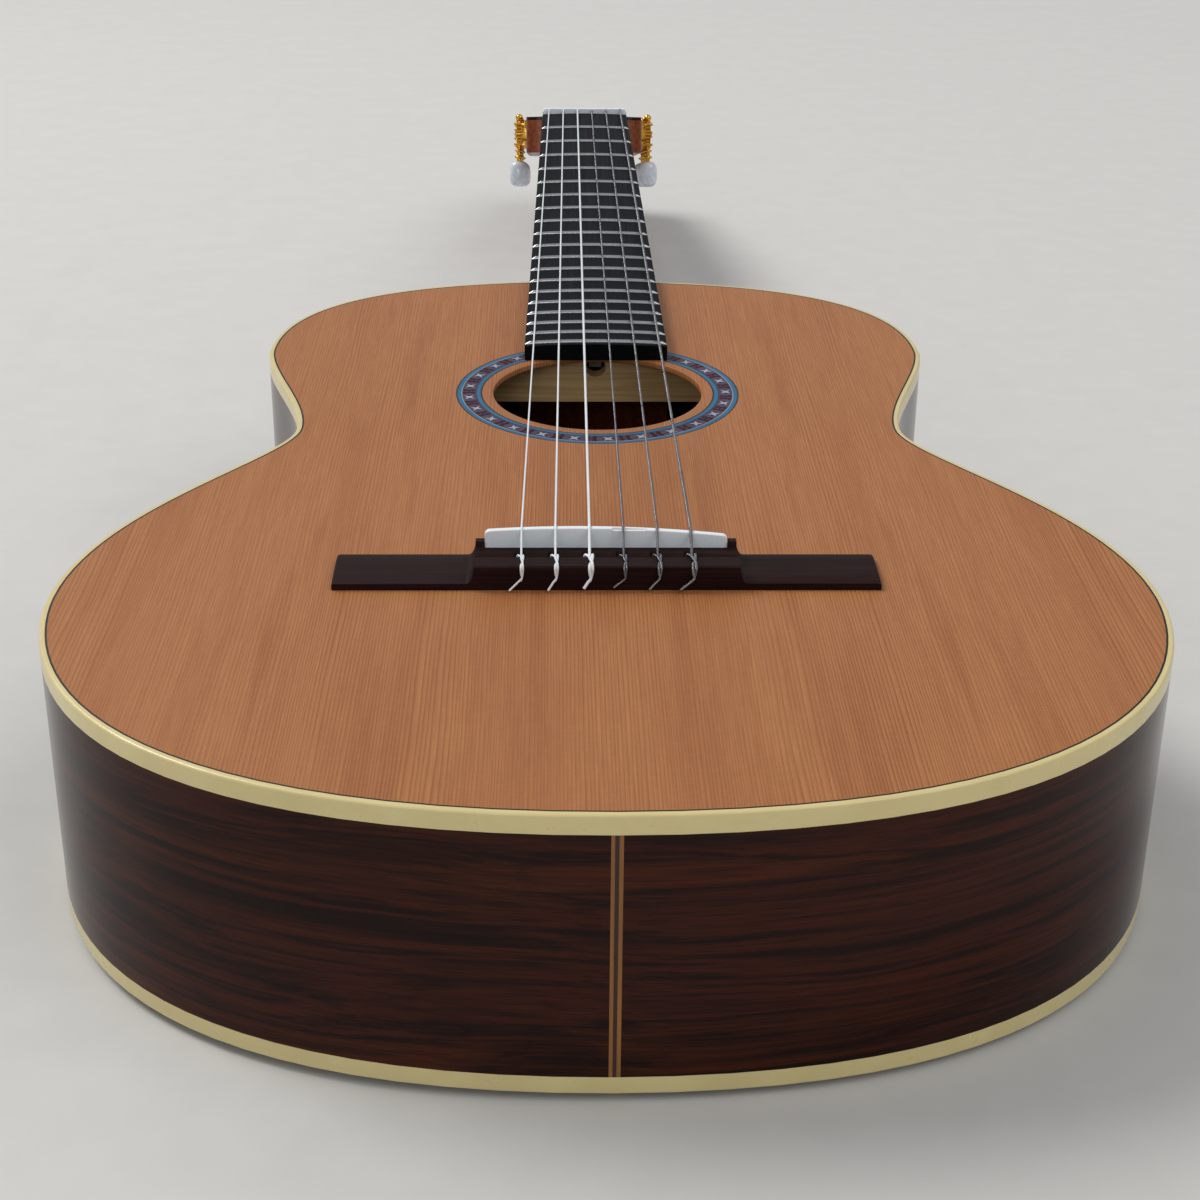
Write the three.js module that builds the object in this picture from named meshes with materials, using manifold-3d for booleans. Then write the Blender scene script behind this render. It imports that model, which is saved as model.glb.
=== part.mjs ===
// Classical guitar: a hollow wooden body, a neck with a slotted head, six strings
// and two rows of geared tuning machines.
// Millimetres. +Z points out of the soundboard, +Y towards the head, X across the body.
// Lengths along the guitar are counted from the saddle line, heights from the lowest
// flat of the back, and the whole model is shifted at the end so that y = 0 is half way along.

import * as THREE from 'three';
import { mergeVertices } from 'three/addons/utils/BufferGeometryUtils.js';
import Module from 'manifold-3d';

const wasm = await Module();
wasm.setup();

// ---------------------------------------------------------------- driving dimensions

const SCALE_LENGTH = 650;
const FRET_COUNT = 19;
const STRING_COUNT = 6;
// Clearance between neighbouring pieces, and how far a cutting solid reaches past a face.
const GAP = 0.3;
const OVERCUT = 1;

// Body outline, right half: each knot is where the edge runs straight along X or Y.
const TAIL = { y: -167.6, reach: 175 };
const LOWER_BOUT = { x: 189.6, y: -26.8, before: 32.5, after: 76.7 };
const WAIST = { x: 122.6, y: 131.1, before: 30.2, after: 30 };
const UPPER_BOUT = { x: 144.8, y: 227.8, before: 26.9, after: 63.7 };
const SHOULDER = { y: 329.7, reach: 97.8 };
const OUTLINE_STEPS = 8;

// Heights.
const TOP_Z = 101;
const BACK_RIM_Z = 3;
const PLATE_THICKNESS = 2.5;
const RIB_THICKNESS = 2;
const BINDING_WIDTH = 2;
const BINDING_HEIGHT = 6.5;
const LINING_WIDTH = 7.5;
const LINING_HEIGHT = 13;
const PLATE_INSET = BINDING_WIDTH + GAP;
const LINING_INNER_INSET = PLATE_INSET + LINING_WIDTH;
const SOUNDBOARD_BOTTOM = TOP_Z - PLATE_THICKNESS;
const RIB_BOTTOM = BACK_RIM_Z + BINDING_HEIGHT + GAP;
const RIB_TOP = TOP_Z - BINDING_HEIGHT - GAP;

// The back is arched: nested copies of its outline, each with its width, length and height.
const BACK_MIDDLE_Y = 81;
const BACK_ARCH = [
  { wide: 1, long: 1, z: BACK_RIM_Z },
  { wide: 0.75, long: 0.97, z: 1.2 },
  { wide: 0.4, long: 0.92, z: 0 },
];

// Soundhole and rosette.
const SOUNDHOLE = { y: 174.2, radius: 44.1 };
const ROSETTE = { inner: 48.8, outer: 59.8, depth: 1.2 };

// Bars and blocks inside the body.
const UPPER_BAR = { y: 222, thickness: 8, height: 20, halfLength: 132 };
const LOWER_BAR = { y: 117, thickness: 7, height: 18, halfLength: 110 };
const ROD_HOLE = { radius: 4.6, below: 6.2 };
const FAN = { count: 7, width: 5, height: 4, headSpacing: 16, tailSpacing: 33, tailY: -96 };
const FAN_TAIL_STEP = 3;
const CLOSING_BAR = { width: 6, height: 4, innerX: 4, innerY: -126, outerX: 112, outerY: -78 };
const TAIL_PAD = { halfWidth: 10, overlap: 3, height: 4 };
const BRIDGE_PATCH = { halfLength: 100, from: -24, to: 7, thickness: 2 };
const BACK_BARS = [{ y: -70, height: 17 }, { y: 60, height: 15 }, { y: 190, height: 14 }];
const BACK_BAR = { thickness: 7, endGap: 4, endHeight: 5, flatShare: 0.9, crownShare: 0.7 };
const SEAM_STRIP = { halfWidth: 10, from: -144, to: 280, thickness: 2 };
const NECK_BLOCK = { halfWidth: 36, from: 288 };
const TAIL_BLOCK = { halfWidth: 34, thickness: 16 };
const TAIL_STRIP_WIDTH = 3.6;
const TRUSS_ROD = { halfWidth: 2.8, height: 6.5, from: 231, to: 640 };
const ROD_CHANNEL_HALF = TRUSS_ROD.halfWidth + GAP;

// Neck, fingerboard, frets and nut.
const NUT = { width: 52, thickness: 5, height: 10.4, grooveDepth: 1.5 };
const HEEL_Y = 330;
const BOARD_END_Y = 213.5;
const WIDTH_AT_JOIN = 60;
const JOIN_Y = SCALE_LENGTH / 2;
const BOARD_THICKNESS = 7.5;
const BOARD_RADIUS = 500;
const BOARD_ARC_STEPS = 4;
const FRET = { width: 2, height: 1.1, inset: 0.8, root: 3 };
const NECK_STEPS = 10;
// Neck sections: y, depth under the fingerboard, and how round the belly is.
const NECK_SECTIONS = [
  { y: HEEL_Y, depth: 96, belly: 0.36 },
  { y: 335, depth: 92, belly: 0.36 },
  { y: 341, depth: 76, belly: 0.38 },
  { y: 347, depth: 58, belly: 0.42 },
  { y: 354, depth: 42, belly: 0.48 },
  { y: 363, depth: 29, belly: 0.58 },
  { y: 374, depth: 21, belly: 0.68 },
  { y: 390, depth: 17.2, belly: 0.75 },
  { y: 500, depth: 16.2, belly: 0.75 },
  { y: 640, depth: 15, belly: 0.75 },
  { y: 654, depth: 15.4, belly: 0.7 },
];
// The sides draw in as the heel goes down: by this share of the width at full depth.
const HEEL_TAPER = 0.62;
const HEEL_TAPER_POWER = 0.9;

// Head, in its own frame: along it from the nut, across it, and out of its face.
const HEAD_TILT = THREE.MathUtils.degToRad(15);
const HEAD_START = { y: SCALE_LENGTH + NUT.thickness, z: 105.5 };
const HEAD = { length: 185, halfWidth: 36.5, thickness: 22, veneer: 2 };
const SHOULDER_CURVE = { along: 15, hollow: 10.5, corner: 3.4 };
const CREST = { from: 160, notchX: 12, lobe: 6, notchDrop: 7, lip: 1, rise: 4 };
const HEAD_CURVE_STEPS = 4;
const SLOT = { inner: 9, outer: 24, from: 13, to: 128 };

// Tuning machines, in the head's frame. Each has a worm on a shaft and a gear on a roller.
const ROLLERS = [
  { along: 40, landing: 20.5, windSide: -1 },
  { along: 75, landing: 17, windSide: -1 },
  { along: 110, landing: 15.5, windSide: 1 },
];
const ROLLER = { radius: 5, depth: 10, innerX: 4.5, outerX: HEAD.halfWidth - GAP };
const BORE_RADIUS = ROLLER.radius + GAP;
const PLATE = { thickness: 1.2, from: 20, to: 131, low: -19, high: -1.5 };
const SPINDLE_RADIUS = 1.7;
const GEAR_TEETH = 14;
const GEAR = { pitchRadius: 6, width: 3, hubRadius: 3.2, overlap: 0.5 };
// Corners of one tooth: the radius, and the angle each side of its middle.
const TOOTH_ROOT = { radius: 5.1, halfAngle: 0.137 };
const TOOTH_TIP = { radius: 6.8, halfAngle: 0.046 };
const GEAR_SCREW = { radius: 2.4, edge: 0.7, topRadius: 1.6, height: 1.1 };
const WORM = { rootRadius: 1.9, tipRadius: 3.5, turns: 2.5, steps: 8, ridgeSteps: 2 };
const WORM_LEAD = 2 * Math.PI * GEAR.pitchRadius / GEAR_TEETH;
const CENTRE_DISTANCE = 8.8;
const SHAFT_RADIUS = 1.7;
const SHAFT_HOLE_RADIUS = SHAFT_RADIUS + 0.4;
const WORM_X = 41.5;
const EAR = { thickness: 1.6, offset: 6.4, halfWidth: 3.4, reach: 45.1, root: 0.2 };
const BUTTON = { top: -27, bottom: -43.2, halfWidth: 6.4, flatness: 0.7, bore: 8 };
// A barrel: how square its side is, and where its rows of points stand along it.
const BARREL_POWER = 3;
const BARREL_ROWS = [0, 0.03, 0.12, 0.3, 0.5, 0.7, 0.88, 0.97, 1];
const COLLARS = [{ z: -20.2, radius: 2.9 }, { z: -24.2, radius: 3.2 }];
const COLLAR_HALF_HEIGHT = 0.8;
const COLLAR_BEVEL = 0.4;
const END_BALL = { z: 0.4, radius: 2.4 };
const TURNING_STEPS = 12;
const SMALL_TURNING_STEPS = 8;

// Bridge and saddle, heights above the soundboard.
const BRIDGE = { halfLength: 94.2, tailY: -20.9, headY: 3.3, wingHeight: 3 };
const BRIDGE_BLOCK = { halfLength: 45.5, tieHeight: 8.9, tieFrontY: -12.8, channelZ: 5.2 };
const SHELF = { z: 7.2, rampY: -9.5, topY: -6 };
const SADDLE_WALL = { height: 9.6, slope: 1.2 };
const SADDLE = { halfLength: 42.3, tailY: -1.4, headY: 1, slotZ: 2.5 };
// The saddle's top: its height half way, its fall to each end and its lean to the right.
const SADDLE_TOP = { height: 14.5, crown: 1.9, lean: 0.9 };
const SADDLE_ARC_STEPS = 10;
const SADDLE_STEP = { from: 2, to: 14, depth: 0.9, cut: 0.9 };
const TIE_HOLE = { entryZ: 6.5, exitZ: 3.6 };
const STRING_RAMP = { halfWidth: 1.5, reach: 1.5, depth: 0.6 };

// Strings from left to right: their radii and spacing.
const STRING_RADII = [0.355, 0.41, 0.515, 0.38, 0.455, 0.545];
const SADDLE_SPACING = 11.78;
const NUT_SPACING = 8.8;
const STRING_SIDES = 4;
const STRING_CLEARANCE = 0.15;
// Where a string bends over the nut and the saddle, past their faces.
const NUT_BEND = { head: 0.4, tail: 0.2 };
const SADDLE_BEND = { headY: 0.4, tailY: -1.2 };
// The knot: how far it stands off the tie block, how its strands spread, where its end hangs.
const KNOT = { standOff: 1.4, lip: 0.9, spread: 0.7, hook: 1.2, endOut: 2.6, endZ: 1.3 };
const WINDING_WIDTH = 4.3;

const HEAD_END_Y = HEAD_START.y + HEAD.length * Math.cos(HEAD_TILT);
const SADDLE_Y = -(TAIL.y + HEAD_END_Y) / 2;

// ---------------------------------------------------------------- materials

function paint(color, roughness, metalness = 0) {
  return new THREE.MeshStandardMaterial({ color, roughness, metalness });
}

const cedar = () => paint(0xb5804f, 0.5);
const rosewood = () => paint(0x35140c, 0.3);
const cream = () => paint(0xd8cba0, 0.35);
const spruce = () => paint(0xcfae7c, 0.7);
const mahogany = () => paint(0x7a4326, 0.45);
const ebony = () => paint(0x17161a, 0.45);
const bridgeWood = () => paint(0x2c1b1a, 0.5);
const bone = () => paint(0xdfe6ec, 0.3);
const gold = () => paint(0xd9a441, 0.25, 1);
const steel = () => paint(0x9a9c9e, 0.35, 1);
const pearl = () => paint(0xc8cdd6, 0.2);
const nylon = () => paint(0xe9ebee, 0.3);
const silver = () => paint(0x8c8d92, 0.35, 1);
const mosaic = () => paint(0x5a3f52, 0.4);
const stripWood = () => paint(0x8a5a30, 0.4);

// ---------------------------------------------------------------- geometry helpers

function solid(geometry) {
  const bare = geometry.clone();
  bare.deleteAttribute('normal');
  bare.deleteAttribute('uv');
  const merged = mergeVertices(bare, 1e-4);
  return new wasm.Manifold(new wasm.Mesh({
    numProp: 3,
    vertProperties: new Float32Array(merged.attributes.position.array),
    triVerts: new Uint32Array(merged.index.array),
  }));
}

function geometryOf(manifold) {
  const mesh = manifold.getMesh();
  const geometry = new THREE.BufferGeometry();
  geometry.setAttribute('position', new THREE.BufferAttribute(mesh.vertProperties, 3));
  geometry.setIndex(new THREE.BufferAttribute(mesh.triVerts, 1));
  geometry.computeVertexNormals();
  return geometry;
}

function box(x0, x1, y0, y1, z0, z1) {
  const geometry = new THREE.BoxGeometry(x1 - x0, y1 - y0, z1 - z0);
  return geometry.translate((x0 + x1) / 2, (y0 + y1) / 2, (z0 + z1) / 2);
}

function union(geometries) {
  return geometries.map(solid).reduce((whole, piece) => whole.add(piece));
}

function cut(whole, geometries) {
  return geometries.reduce((rest, geometry) => rest.subtract(solid(geometry)), whole);
}

function extrudeUp(shape, z, height, curveSegments = 16) {
  const options = { depth: height, bevelEnabled: false, curveSegments };
  return new THREE.ExtrudeGeometry(shape, options).translate(0, 0, z);
}

// A profile drawn in Y and Z, swept along X from -halfLength to halfLength.
function extrudeAcross(profile, halfLength) {
  const shape = new THREE.Shape(profile.map(([y, z]) => new THREE.Vector2(y, z)));
  const options = { depth: 2 * halfLength, bevelEnabled: false };
  const geometry = new THREE.ExtrudeGeometry(shape, options).translate(0, 0, -halfLength);
  return geometry.rotateY(Math.PI / 2).rotateX(Math.PI / 2);
}

// A profile drawn in X and Z, swept along Y.
function extrudeAlong(profile, y0, y1) {
  const shape = new THREE.Shape(profile.map(([x, z]) => new THREE.Vector2(x, z)));
  const options = { depth: y1 - y0, bevelEnabled: false };
  return new THREE.ExtrudeGeometry(shape, options).rotateX(Math.PI / 2).translate(0, y1, 0);
}

// A closed solid through rings with equal numbers of points, with flat ends.
function loft(rings) {
  const size = rings[0].length;
  const points = rings.flat();
  const middleOf = (ring) => ring.reduce((sum, p) => sum.add(p), new THREE.Vector3())
    .divideScalar(size);
  const firstMiddle = points.length;
  points.push(middleOf(rings[0]), middleOf(rings[rings.length - 1]));
  const lastRing = (rings.length - 1) * size;
  const index = [];
  for (let i = 0; i < size; i += 1) {
    const next = (i + 1) % size;
    index.push(firstMiddle, next, i);
    index.push(firstMiddle + 1, lastRing + i, lastRing + next);
    for (let r = 0; r < lastRing; r += size) {
      index.push(r + i, r + next, r + size + i);
      index.push(r + next, r + size + next, r + size + i);
    }
  }
  const geometry = new THREE.BufferGeometry().setFromPoints(points);
  geometry.setIndex(index);
  geometry.computeVertexNormals();
  return geometry;
}

function turned(profile, segments = TURNING_STEPS) {
  return new THREE.LatheGeometry(profile.map(([r, h]) => new THREE.Vector2(r, h)), segments);
}

// A turned piece with its axis along X, on the side of the guitar that `side` names.
function turnedAcross(profile, side, segments = TURNING_STEPS) {
  return turned(profile, segments).rotateZ(-side * Math.PI / 2);
}

// A turned piece with its axis along Z.
function turnedUp(profile, segments = TURNING_STEPS) {
  return turned(profile, segments).rotateX(Math.PI / 2);
}

// A rod from one point to another.
function rod(from, to, radius, segments) {
  const direction = to.clone().sub(from);
  const geometry = new THREE.CylinderGeometry(radius, radius, direction.length(), segments);
  const up = new THREE.Vector3(0, 1, 0);
  const turn = new THREE.Quaternion().setFromUnitVectors(up, direction.clone().normalize());
  const middle = from.clone().add(to).divideScalar(2);
  return geometry.applyQuaternion(turn).translate(middle.x, middle.y, middle.z);
}

// A route through points, with a section of the swept tube at each point and nowhere else.
class Route extends THREE.Curve {
  constructor(points) {
    super();
    this.points = points;
  }

  getPoint(t) {
    const last = this.points.length - 1;
    const start = Math.min(Math.floor(t * last + 1e-6), last - 1);
    return this.points[start].clone().lerp(this.points[start + 1], t * last - start);
  }

  getPointAt(u) {
    return this.getPoint(u);
  }

  getTangentAt(u) {
    const last = this.points.length - 1;
    const here = Math.round(u * last);
    const tangent = new THREE.Vector3();
    for (const i of [here - 1, here]) {
      if (i >= 0 && i < last) {
        tangent.add(this.points[i + 1].clone().sub(this.points[i]).normalize());
      }
    }
    return tangent.normalize();
  }
}

function tube(points, radius) {
  const section = new THREE.Shape().absarc(0, 0, radius, 0, 2 * Math.PI);
  const options = {
    steps: points.length - 1,
    curveSegments: STRING_SIDES,
    extrudePath: new Route(points),
  };
  return new THREE.ExtrudeGeometry(section, options);
}

function add(parent, name, geometry, material) {
  const mesh = new THREE.Mesh(geometry, material);
  mesh.name = name;
  parent.add(mesh);
}

// ---------------------------------------------------------------- body outline

const vector = (x, y) => new THREE.Vector2(x, y);

const OUTLINE_CURVES = [
  new THREE.CubicBezierCurve(
    vector(0, TAIL.y),
    vector(TAIL.reach, TAIL.y),
    vector(LOWER_BOUT.x, LOWER_BOUT.y - LOWER_BOUT.before),
    vector(LOWER_BOUT.x, LOWER_BOUT.y),
  ),
  new THREE.CubicBezierCurve(
    vector(LOWER_BOUT.x, LOWER_BOUT.y),
    vector(LOWER_BOUT.x, LOWER_BOUT.y + LOWER_BOUT.after),
    vector(WAIST.x, WAIST.y - WAIST.before),
    vector(WAIST.x, WAIST.y),
  ),
  new THREE.CubicBezierCurve(
    vector(WAIST.x, WAIST.y),
    vector(WAIST.x, WAIST.y + WAIST.after),
    vector(UPPER_BOUT.x, UPPER_BOUT.y - UPPER_BOUT.before),
    vector(UPPER_BOUT.x, UPPER_BOUT.y),
  ),
  new THREE.CubicBezierCurve(
    vector(UPPER_BOUT.x, UPPER_BOUT.y),
    vector(UPPER_BOUT.x, UPPER_BOUT.y + UPPER_BOUT.after),
    vector(SHOULDER.reach, SHOULDER.y),
    vector(0, SHOULDER.y),
  ),
];

// Points of the right half, from the tail to the neck, moved inwards by the inset.
function halfOutline(inset) {
  const points = [];
  OUTLINE_CURVES.forEach((curve, order) => {
    for (let i = order === 0 ? 0 : 1; i <= OUTLINE_STEPS; i += 1) {
      const point = curve.getPoint(i / OUTLINE_STEPS);
      const tangent = curve.getTangent(i / OUTLINE_STEPS);
      points.push(vector(point.x - inset * tangent.y, point.y + inset * tangent.x));
    }
  });
  points[0].x = 0;
  points[points.length - 1].x = 0;
  return points;
}

function outline(inset) {
  const right = halfOutline(inset);
  const left = right.slice(1, -1).reverse().map((point) => vector(-point.x, point.y));
  return [...right, ...left];
}

function halfWidthAt(y) {
  const points = halfOutline(0);
  const i = points.findIndex((point) => point.y > y);
  const share = (y - points[i - 1].y) / (points[i].y - points[i - 1].y);
  return THREE.MathUtils.lerp(points[i - 1].x, points[i].x, share);
}

function edgeRing(outerInset, innerInset, z, height) {
  const shape = new THREE.Shape(outline(outerInset));
  shape.holes.push(new THREE.Path(outline(innerInset)));
  return extrudeUp(shape, z, height);
}

// ---------------------------------------------------------------- body

function makeSoundboard() {
  const shape = new THREE.Shape(outline(PLATE_INSET));
  const hole = new THREE.Path().absarc(0, SOUNDHOLE.y, SOUNDHOLE.radius, 0, 2 * Math.PI);
  shape.holes.push(hole);
  const plate = solid(extrudeUp(shape, SOUNDBOARD_BOTTOM, PLATE_THICKNESS));
  const recess = rosetteRing(GAP, ROSETTE.depth + OVERCUT);
  return geometryOf(cut(plate, [recess]));
}

function rosetteRing(clearance, height) {
  const outer = ROSETTE.outer + clearance;
  const shape = new THREE.Shape().absarc(0, SOUNDHOLE.y, outer, 0, 2 * Math.PI);
  const inner = ROSETTE.inner - clearance;
  shape.holes.push(new THREE.Path().absarc(0, SOUNDHOLE.y, inner, 0, 2 * Math.PI));
  return extrudeUp(shape, TOP_Z - ROSETTE.depth, height);
}

function makeBack() {
  const edge = outline(PLATE_INSET);
  const ringAt = ({ wide, long, z }, lift) => edge.map((point) => new THREE.Vector3(
    point.x * wide,
    BACK_MIDDLE_Y + (point.y - BACK_MIDDLE_Y) * long,
    z + lift,
  ));
  const outside = BACK_ARCH.map((ring) => ringAt(ring, 0)).reverse();
  const inside = BACK_ARCH.map((ring) => ringAt(ring, PLATE_THICKNESS));
  return loft([...outside, ...inside]);
}

function makeRib(side) {
  const outer = halfOutline(0);
  const inner = halfOutline(RIB_THICKNESS);
  for (const points of [outer, inner]) {
    points[0].x = TAIL_STRIP_WIDTH / 2 + GAP;
    points[points.length - 1].x = ROD_CHANNEL_HALF + GAP;
  }
  const band = [...outer, ...inner.reverse()].map((point) => vector(side * point.x, point.y));
  return extrudeUp(new THREE.Shape(band), RIB_BOTTOM, RIB_TOP - RIB_BOTTOM);
}

function makeBinding(z) {
  return edgeRing(0, BINDING_WIDTH, z, BINDING_HEIGHT);
}

const LINING_BACK_Z = BACK_RIM_Z + PLATE_THICKNESS + GAP;
const LINING_TOP_Z = SOUNDBOARD_BOTTOM - LINING_HEIGHT;

function makeLining(z) {
  return edgeRing(PLATE_INSET, LINING_INNER_INSET, z, LINING_HEIGHT);
}

// The upper lining and the upper binding stop each side of the truss rod.
function openForRod(ring) {
  const half = ROD_CHANNEL_HALF + GAP;
  return geometryOf(cut(solid(ring), [
    box(-half, half, NECK_BLOCK.from, HEEL_Y, TRUSS_ROD_Z - OVERCUT, TOP_Z + OVERCUT),
  ]));
}

// A block inside the ribs, cut round both linings.
function makeBlock(halfWidth, y0, y1) {
  const bottom = LINING_BACK_Z;
  const inside = solid(extrudeUp(new THREE.Shape(outline(RIB_THICKNESS + GAP)), bottom,
    SOUNDBOARD_BOTTOM - bottom));
  const block = inside.intersect(solid(box(-halfWidth, halfWidth, y0, y1, 0, TOP_Z)));
  const inset = LINING_INNER_INSET + GAP;
  return cut(block, [
    edgeRing(0, inset, bottom - OVERCUT, LINING_HEIGHT + OVERCUT + GAP),
    edgeRing(0, inset, LINING_TOP_Z - GAP, LINING_HEIGHT + OVERCUT + GAP),
  ]);
}

function makeNeckBlock() {
  const block = makeBlock(NECK_BLOCK.halfWidth, NECK_BLOCK.from, SHOULDER.y);
  const half = ROD_CHANNEL_HALF;
  const from = NECK_BLOCK.from - OVERCUT;
  return geometryOf(cut(block, [
    box(-half, half, from, HEEL_Y, TRUSS_ROD_Z - GAP, TOP_Z),
  ]));
}

function makeTailBlock() {
  const to = TAIL.y + RIB_THICKNESS + GAP + TAIL_BLOCK.thickness;
  return geometryOf(makeBlock(TAIL_BLOCK.halfWidth, TAIL.y, to));
}

// A straight bar lying on a flat face, between two points.
function bar(from, to, width, z, height) {
  const along = to.clone().sub(from).normalize();
  const side = vector(-along.y, along.x).multiplyScalar(width / 2);
  const shape = new THREE.Shape([
    from.clone().sub(side),
    to.clone().sub(side),
    to.clone().add(side),
    from.clone().add(side),
  ]);
  return extrudeUp(shape, z, height);
}

function makeUpperBar() {
  const top = SOUNDBOARD_BOTTOM;
  const { y, thickness, height, halfLength } = UPPER_BAR;
  const body = solid(box(-halfLength, halfLength, y, y + thickness, top - height, top));
  const holeZ = TOP_Z - ROD_HOLE.below;
  const from = new THREE.Vector3(0, y - OVERCUT, holeZ);
  const to = new THREE.Vector3(0, y + thickness + OVERCUT, holeZ);
  return geometryOf(cut(body, [rod(from, to, ROD_HOLE.radius, TURNING_STEPS)]));
}

// The lower cross bar, the fan with the two bars that close it, and the patch under the bridge.
function makeSoundboardBracing() {
  const top = SOUNDBOARD_BOTTOM;
  const { y, thickness, height, halfLength } = LOWER_BAR;
  const pieces = [box(-halfLength, halfLength, y, y + thickness, top - height, top)];
  const middle = (FAN.count - 1) / 2;
  for (let i = 0; i < FAN.count; i += 1) {
    const place = i - middle;
    const head = vector(place * FAN.headSpacing, y + thickness / 2);
    const tailY = FAN.tailY + FAN_TAIL_STEP * Math.abs(place);
    const tail = vector(place * FAN.tailSpacing, tailY);
    pieces.push(bar(head, tail, FAN.width, top - FAN.height, FAN.height));
  }
  const closing = CLOSING_BAR;
  for (const side of [-1, 1]) {
    const inner = vector(side * closing.innerX, closing.innerY);
    const outer = vector(side * closing.outerX, closing.outerY);
    pieces.push(bar(inner, outer, closing.width, top - closing.height, closing.height));
  }
  const pad = TAIL_PAD;
  pieces.push(box(-pad.halfWidth, pad.halfWidth, closing.innerY - pad.overlap,
    FAN.tailY + pad.overlap, top - pad.height, top));
  const patch = BRIDGE_PATCH;
  pieces.push(box(-patch.halfLength, patch.halfLength, patch.from, patch.to,
    top - patch.thickness, top));
  return geometryOf(union(pieces));
}

// One bar across the back, its lower edge following the arch.
function backBar({ y, height }) {
  const wide = halfWidthAt(y);
  const { thickness, endGap, endHeight, flatShare, crownShare } = BACK_BAR;
  const end = wide - LINING_INNER_INSET - endGap;
  const flat = flatShare * BACK_ARCH[2].wide * wide;
  const knee = BACK_ARCH[1].wide * wide;
  const floor = PLATE_THICKNESS;
  const right = [
    [flat, floor],
    [knee, floor + BACK_ARCH[1].z + 2 * GAP],
    [end, floor + BACK_RIM_Z + 2 * GAP],
    [end, floor + BACK_RIM_Z + endHeight],
    [end * crownShare, floor + height],
  ];
  const left = right.map(([x, z]) => [-x, z]).reverse();
  return extrudeAlong([...right, ...left], y - thickness / 2, y + thickness / 2);
}

function makeBackBracing() {
  const { halfWidth, from, to, thickness } = SEAM_STRIP;
  const floor = PLATE_THICKNESS;
  const strip = box(-halfWidth, halfWidth, from, to, floor, floor + thickness);
  return geometryOf(union([strip, ...BACK_BARS.map(backBar)]));
}

// ---------------------------------------------------------------- neck

const TRUSS_ROD_Z = SOUNDBOARD_BOTTOM - GAP - TRUSS_ROD.height;

function boardWidthAt(y) {
  const share = (SCALE_LENGTH - y) / (SCALE_LENGTH - JOIN_Y);
  return NUT.width + (WIDTH_AT_JOIN - NUT.width) * share;
}

function neckRing({ y, depth, belly }) {
  const half = boardWidthAt(Math.min(y, SCALE_LENGTH)) / 2;
  const ring = [];
  for (let i = 0; i <= NECK_STEPS; i += 1) {
    const angle = Math.PI * i / NECK_STEPS;
    const drop = i === NECK_STEPS ? 0 : depth * Math.sin(angle) ** belly;
    const drawnIn = HEEL_TAPER * (drop / NECK_SECTIONS[0].depth) ** HEEL_TAPER_POWER;
    ring.push(new THREE.Vector3(half * Math.cos(angle) * (1 - drawnIn), y, TOP_Z - drop));
  }
  return ring;
}

// Head outline from the nut to the crest: the right half and its mirror image.
function headOutline() {
  const { length, halfWidth } = HEAD;
  const { along, hollow, corner } = SHOULDER_CURVE;
  const { from, notchX, lobe, notchDrop, lip, rise } = CREST;
  const nutHalf = NUT.width / 2;
  const half = new THREE.Path();
  half.moveTo(nutHalf, 0);
  half.quadraticCurveTo(nutHalf + lip, hollow, halfWidth - corner, along - lip);
  half.quadraticCurveTo(halfWidth, along, halfWidth, along + corner);
  half.lineTo(halfWidth, from);
  half.quadraticCurveTo(halfWidth, length - rise, notchX + lobe, length - notchDrop);
  half.quadraticCurveTo(notchX, length - notchDrop - lip, notchX, length - rise);
  half.quadraticCurveTo(notchX / 2, length, 0, length);
  const right = half.getPoints(HEAD_CURVE_STEPS);
  const left = right.slice(0, -1).reverse().map((point) => vector(-point.x, point.y));
  return [...right, ...left];
}

function slotPath(side) {
  const middle = side * (SLOT.inner + SLOT.outer) / 2;
  const radius = (SLOT.outer - SLOT.inner) / 2;
  const path = new THREE.Path();
  path.absarc(middle, SLOT.to - radius, radius, 0, Math.PI);
  path.absarc(middle, SLOT.from + radius, radius, Math.PI, 2 * Math.PI);
  path.closePath();
  return path;
}

function headPlate(low, high) {
  const shape = new THREE.Shape(headOutline());
  shape.holes.push(slotPath(-1), slotPath(1));
  return extrudeUp(shape, low, high - low, HEAD_CURVE_STEPS);
}

function intoHead(geometry) {
  return geometry.rotateX(-HEAD_TILT).translate(0, HEAD_START.y, HEAD_START.z);
}

// The room over the end of the neck that the nut and the fingerboard need.
function nutSpace() {
  const half = HEAD.halfWidth;
  return box(-half, half, SCALE_LENGTH - HEAD.thickness, HEAD_START.y + GAP, TOP_Z,
    TOP_Z + NUT.height);
}

function makeNeck() {
  const shaft = loft(NECK_SECTIONS.map(neckRing));
  const head = solid(intoHead(headPlate(-HEAD.thickness, -HEAD.veneer)));
  const bores = [];
  for (const side of [-1, 1]) {
    for (const { along } of ROLLERS) {
      const bore = turnedAcross([
        [0, ROLLER.innerX - GAP],
        [BORE_RADIUS, ROLLER.innerX - GAP],
        [BORE_RADIUS, HEAD.halfWidth + OVERCUT],
        [0, HEAD.halfWidth + OVERCUT],
      ], side);
      bores.push(intoHead(bore.translate(0, along, -ROLLER.depth)));
    }
  }
  const half = ROD_CHANNEL_HALF;
  return geometryOf(cut(solid(shaft).add(head), [
    ...bores,
    nutSpace(),
    box(-half, half, HEEL_Y - OVERCUT, TRUSS_ROD.to + OVERCUT, TRUSS_ROD_Z - GAP,
      TOP_Z + OVERCUT),
  ]));
}

function makeHeadVeneer() {
  const plate = solid(intoHead(headPlate(-HEAD.veneer, 0)));
  return geometryOf(cut(plate, [nutSpace()]));
}

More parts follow.
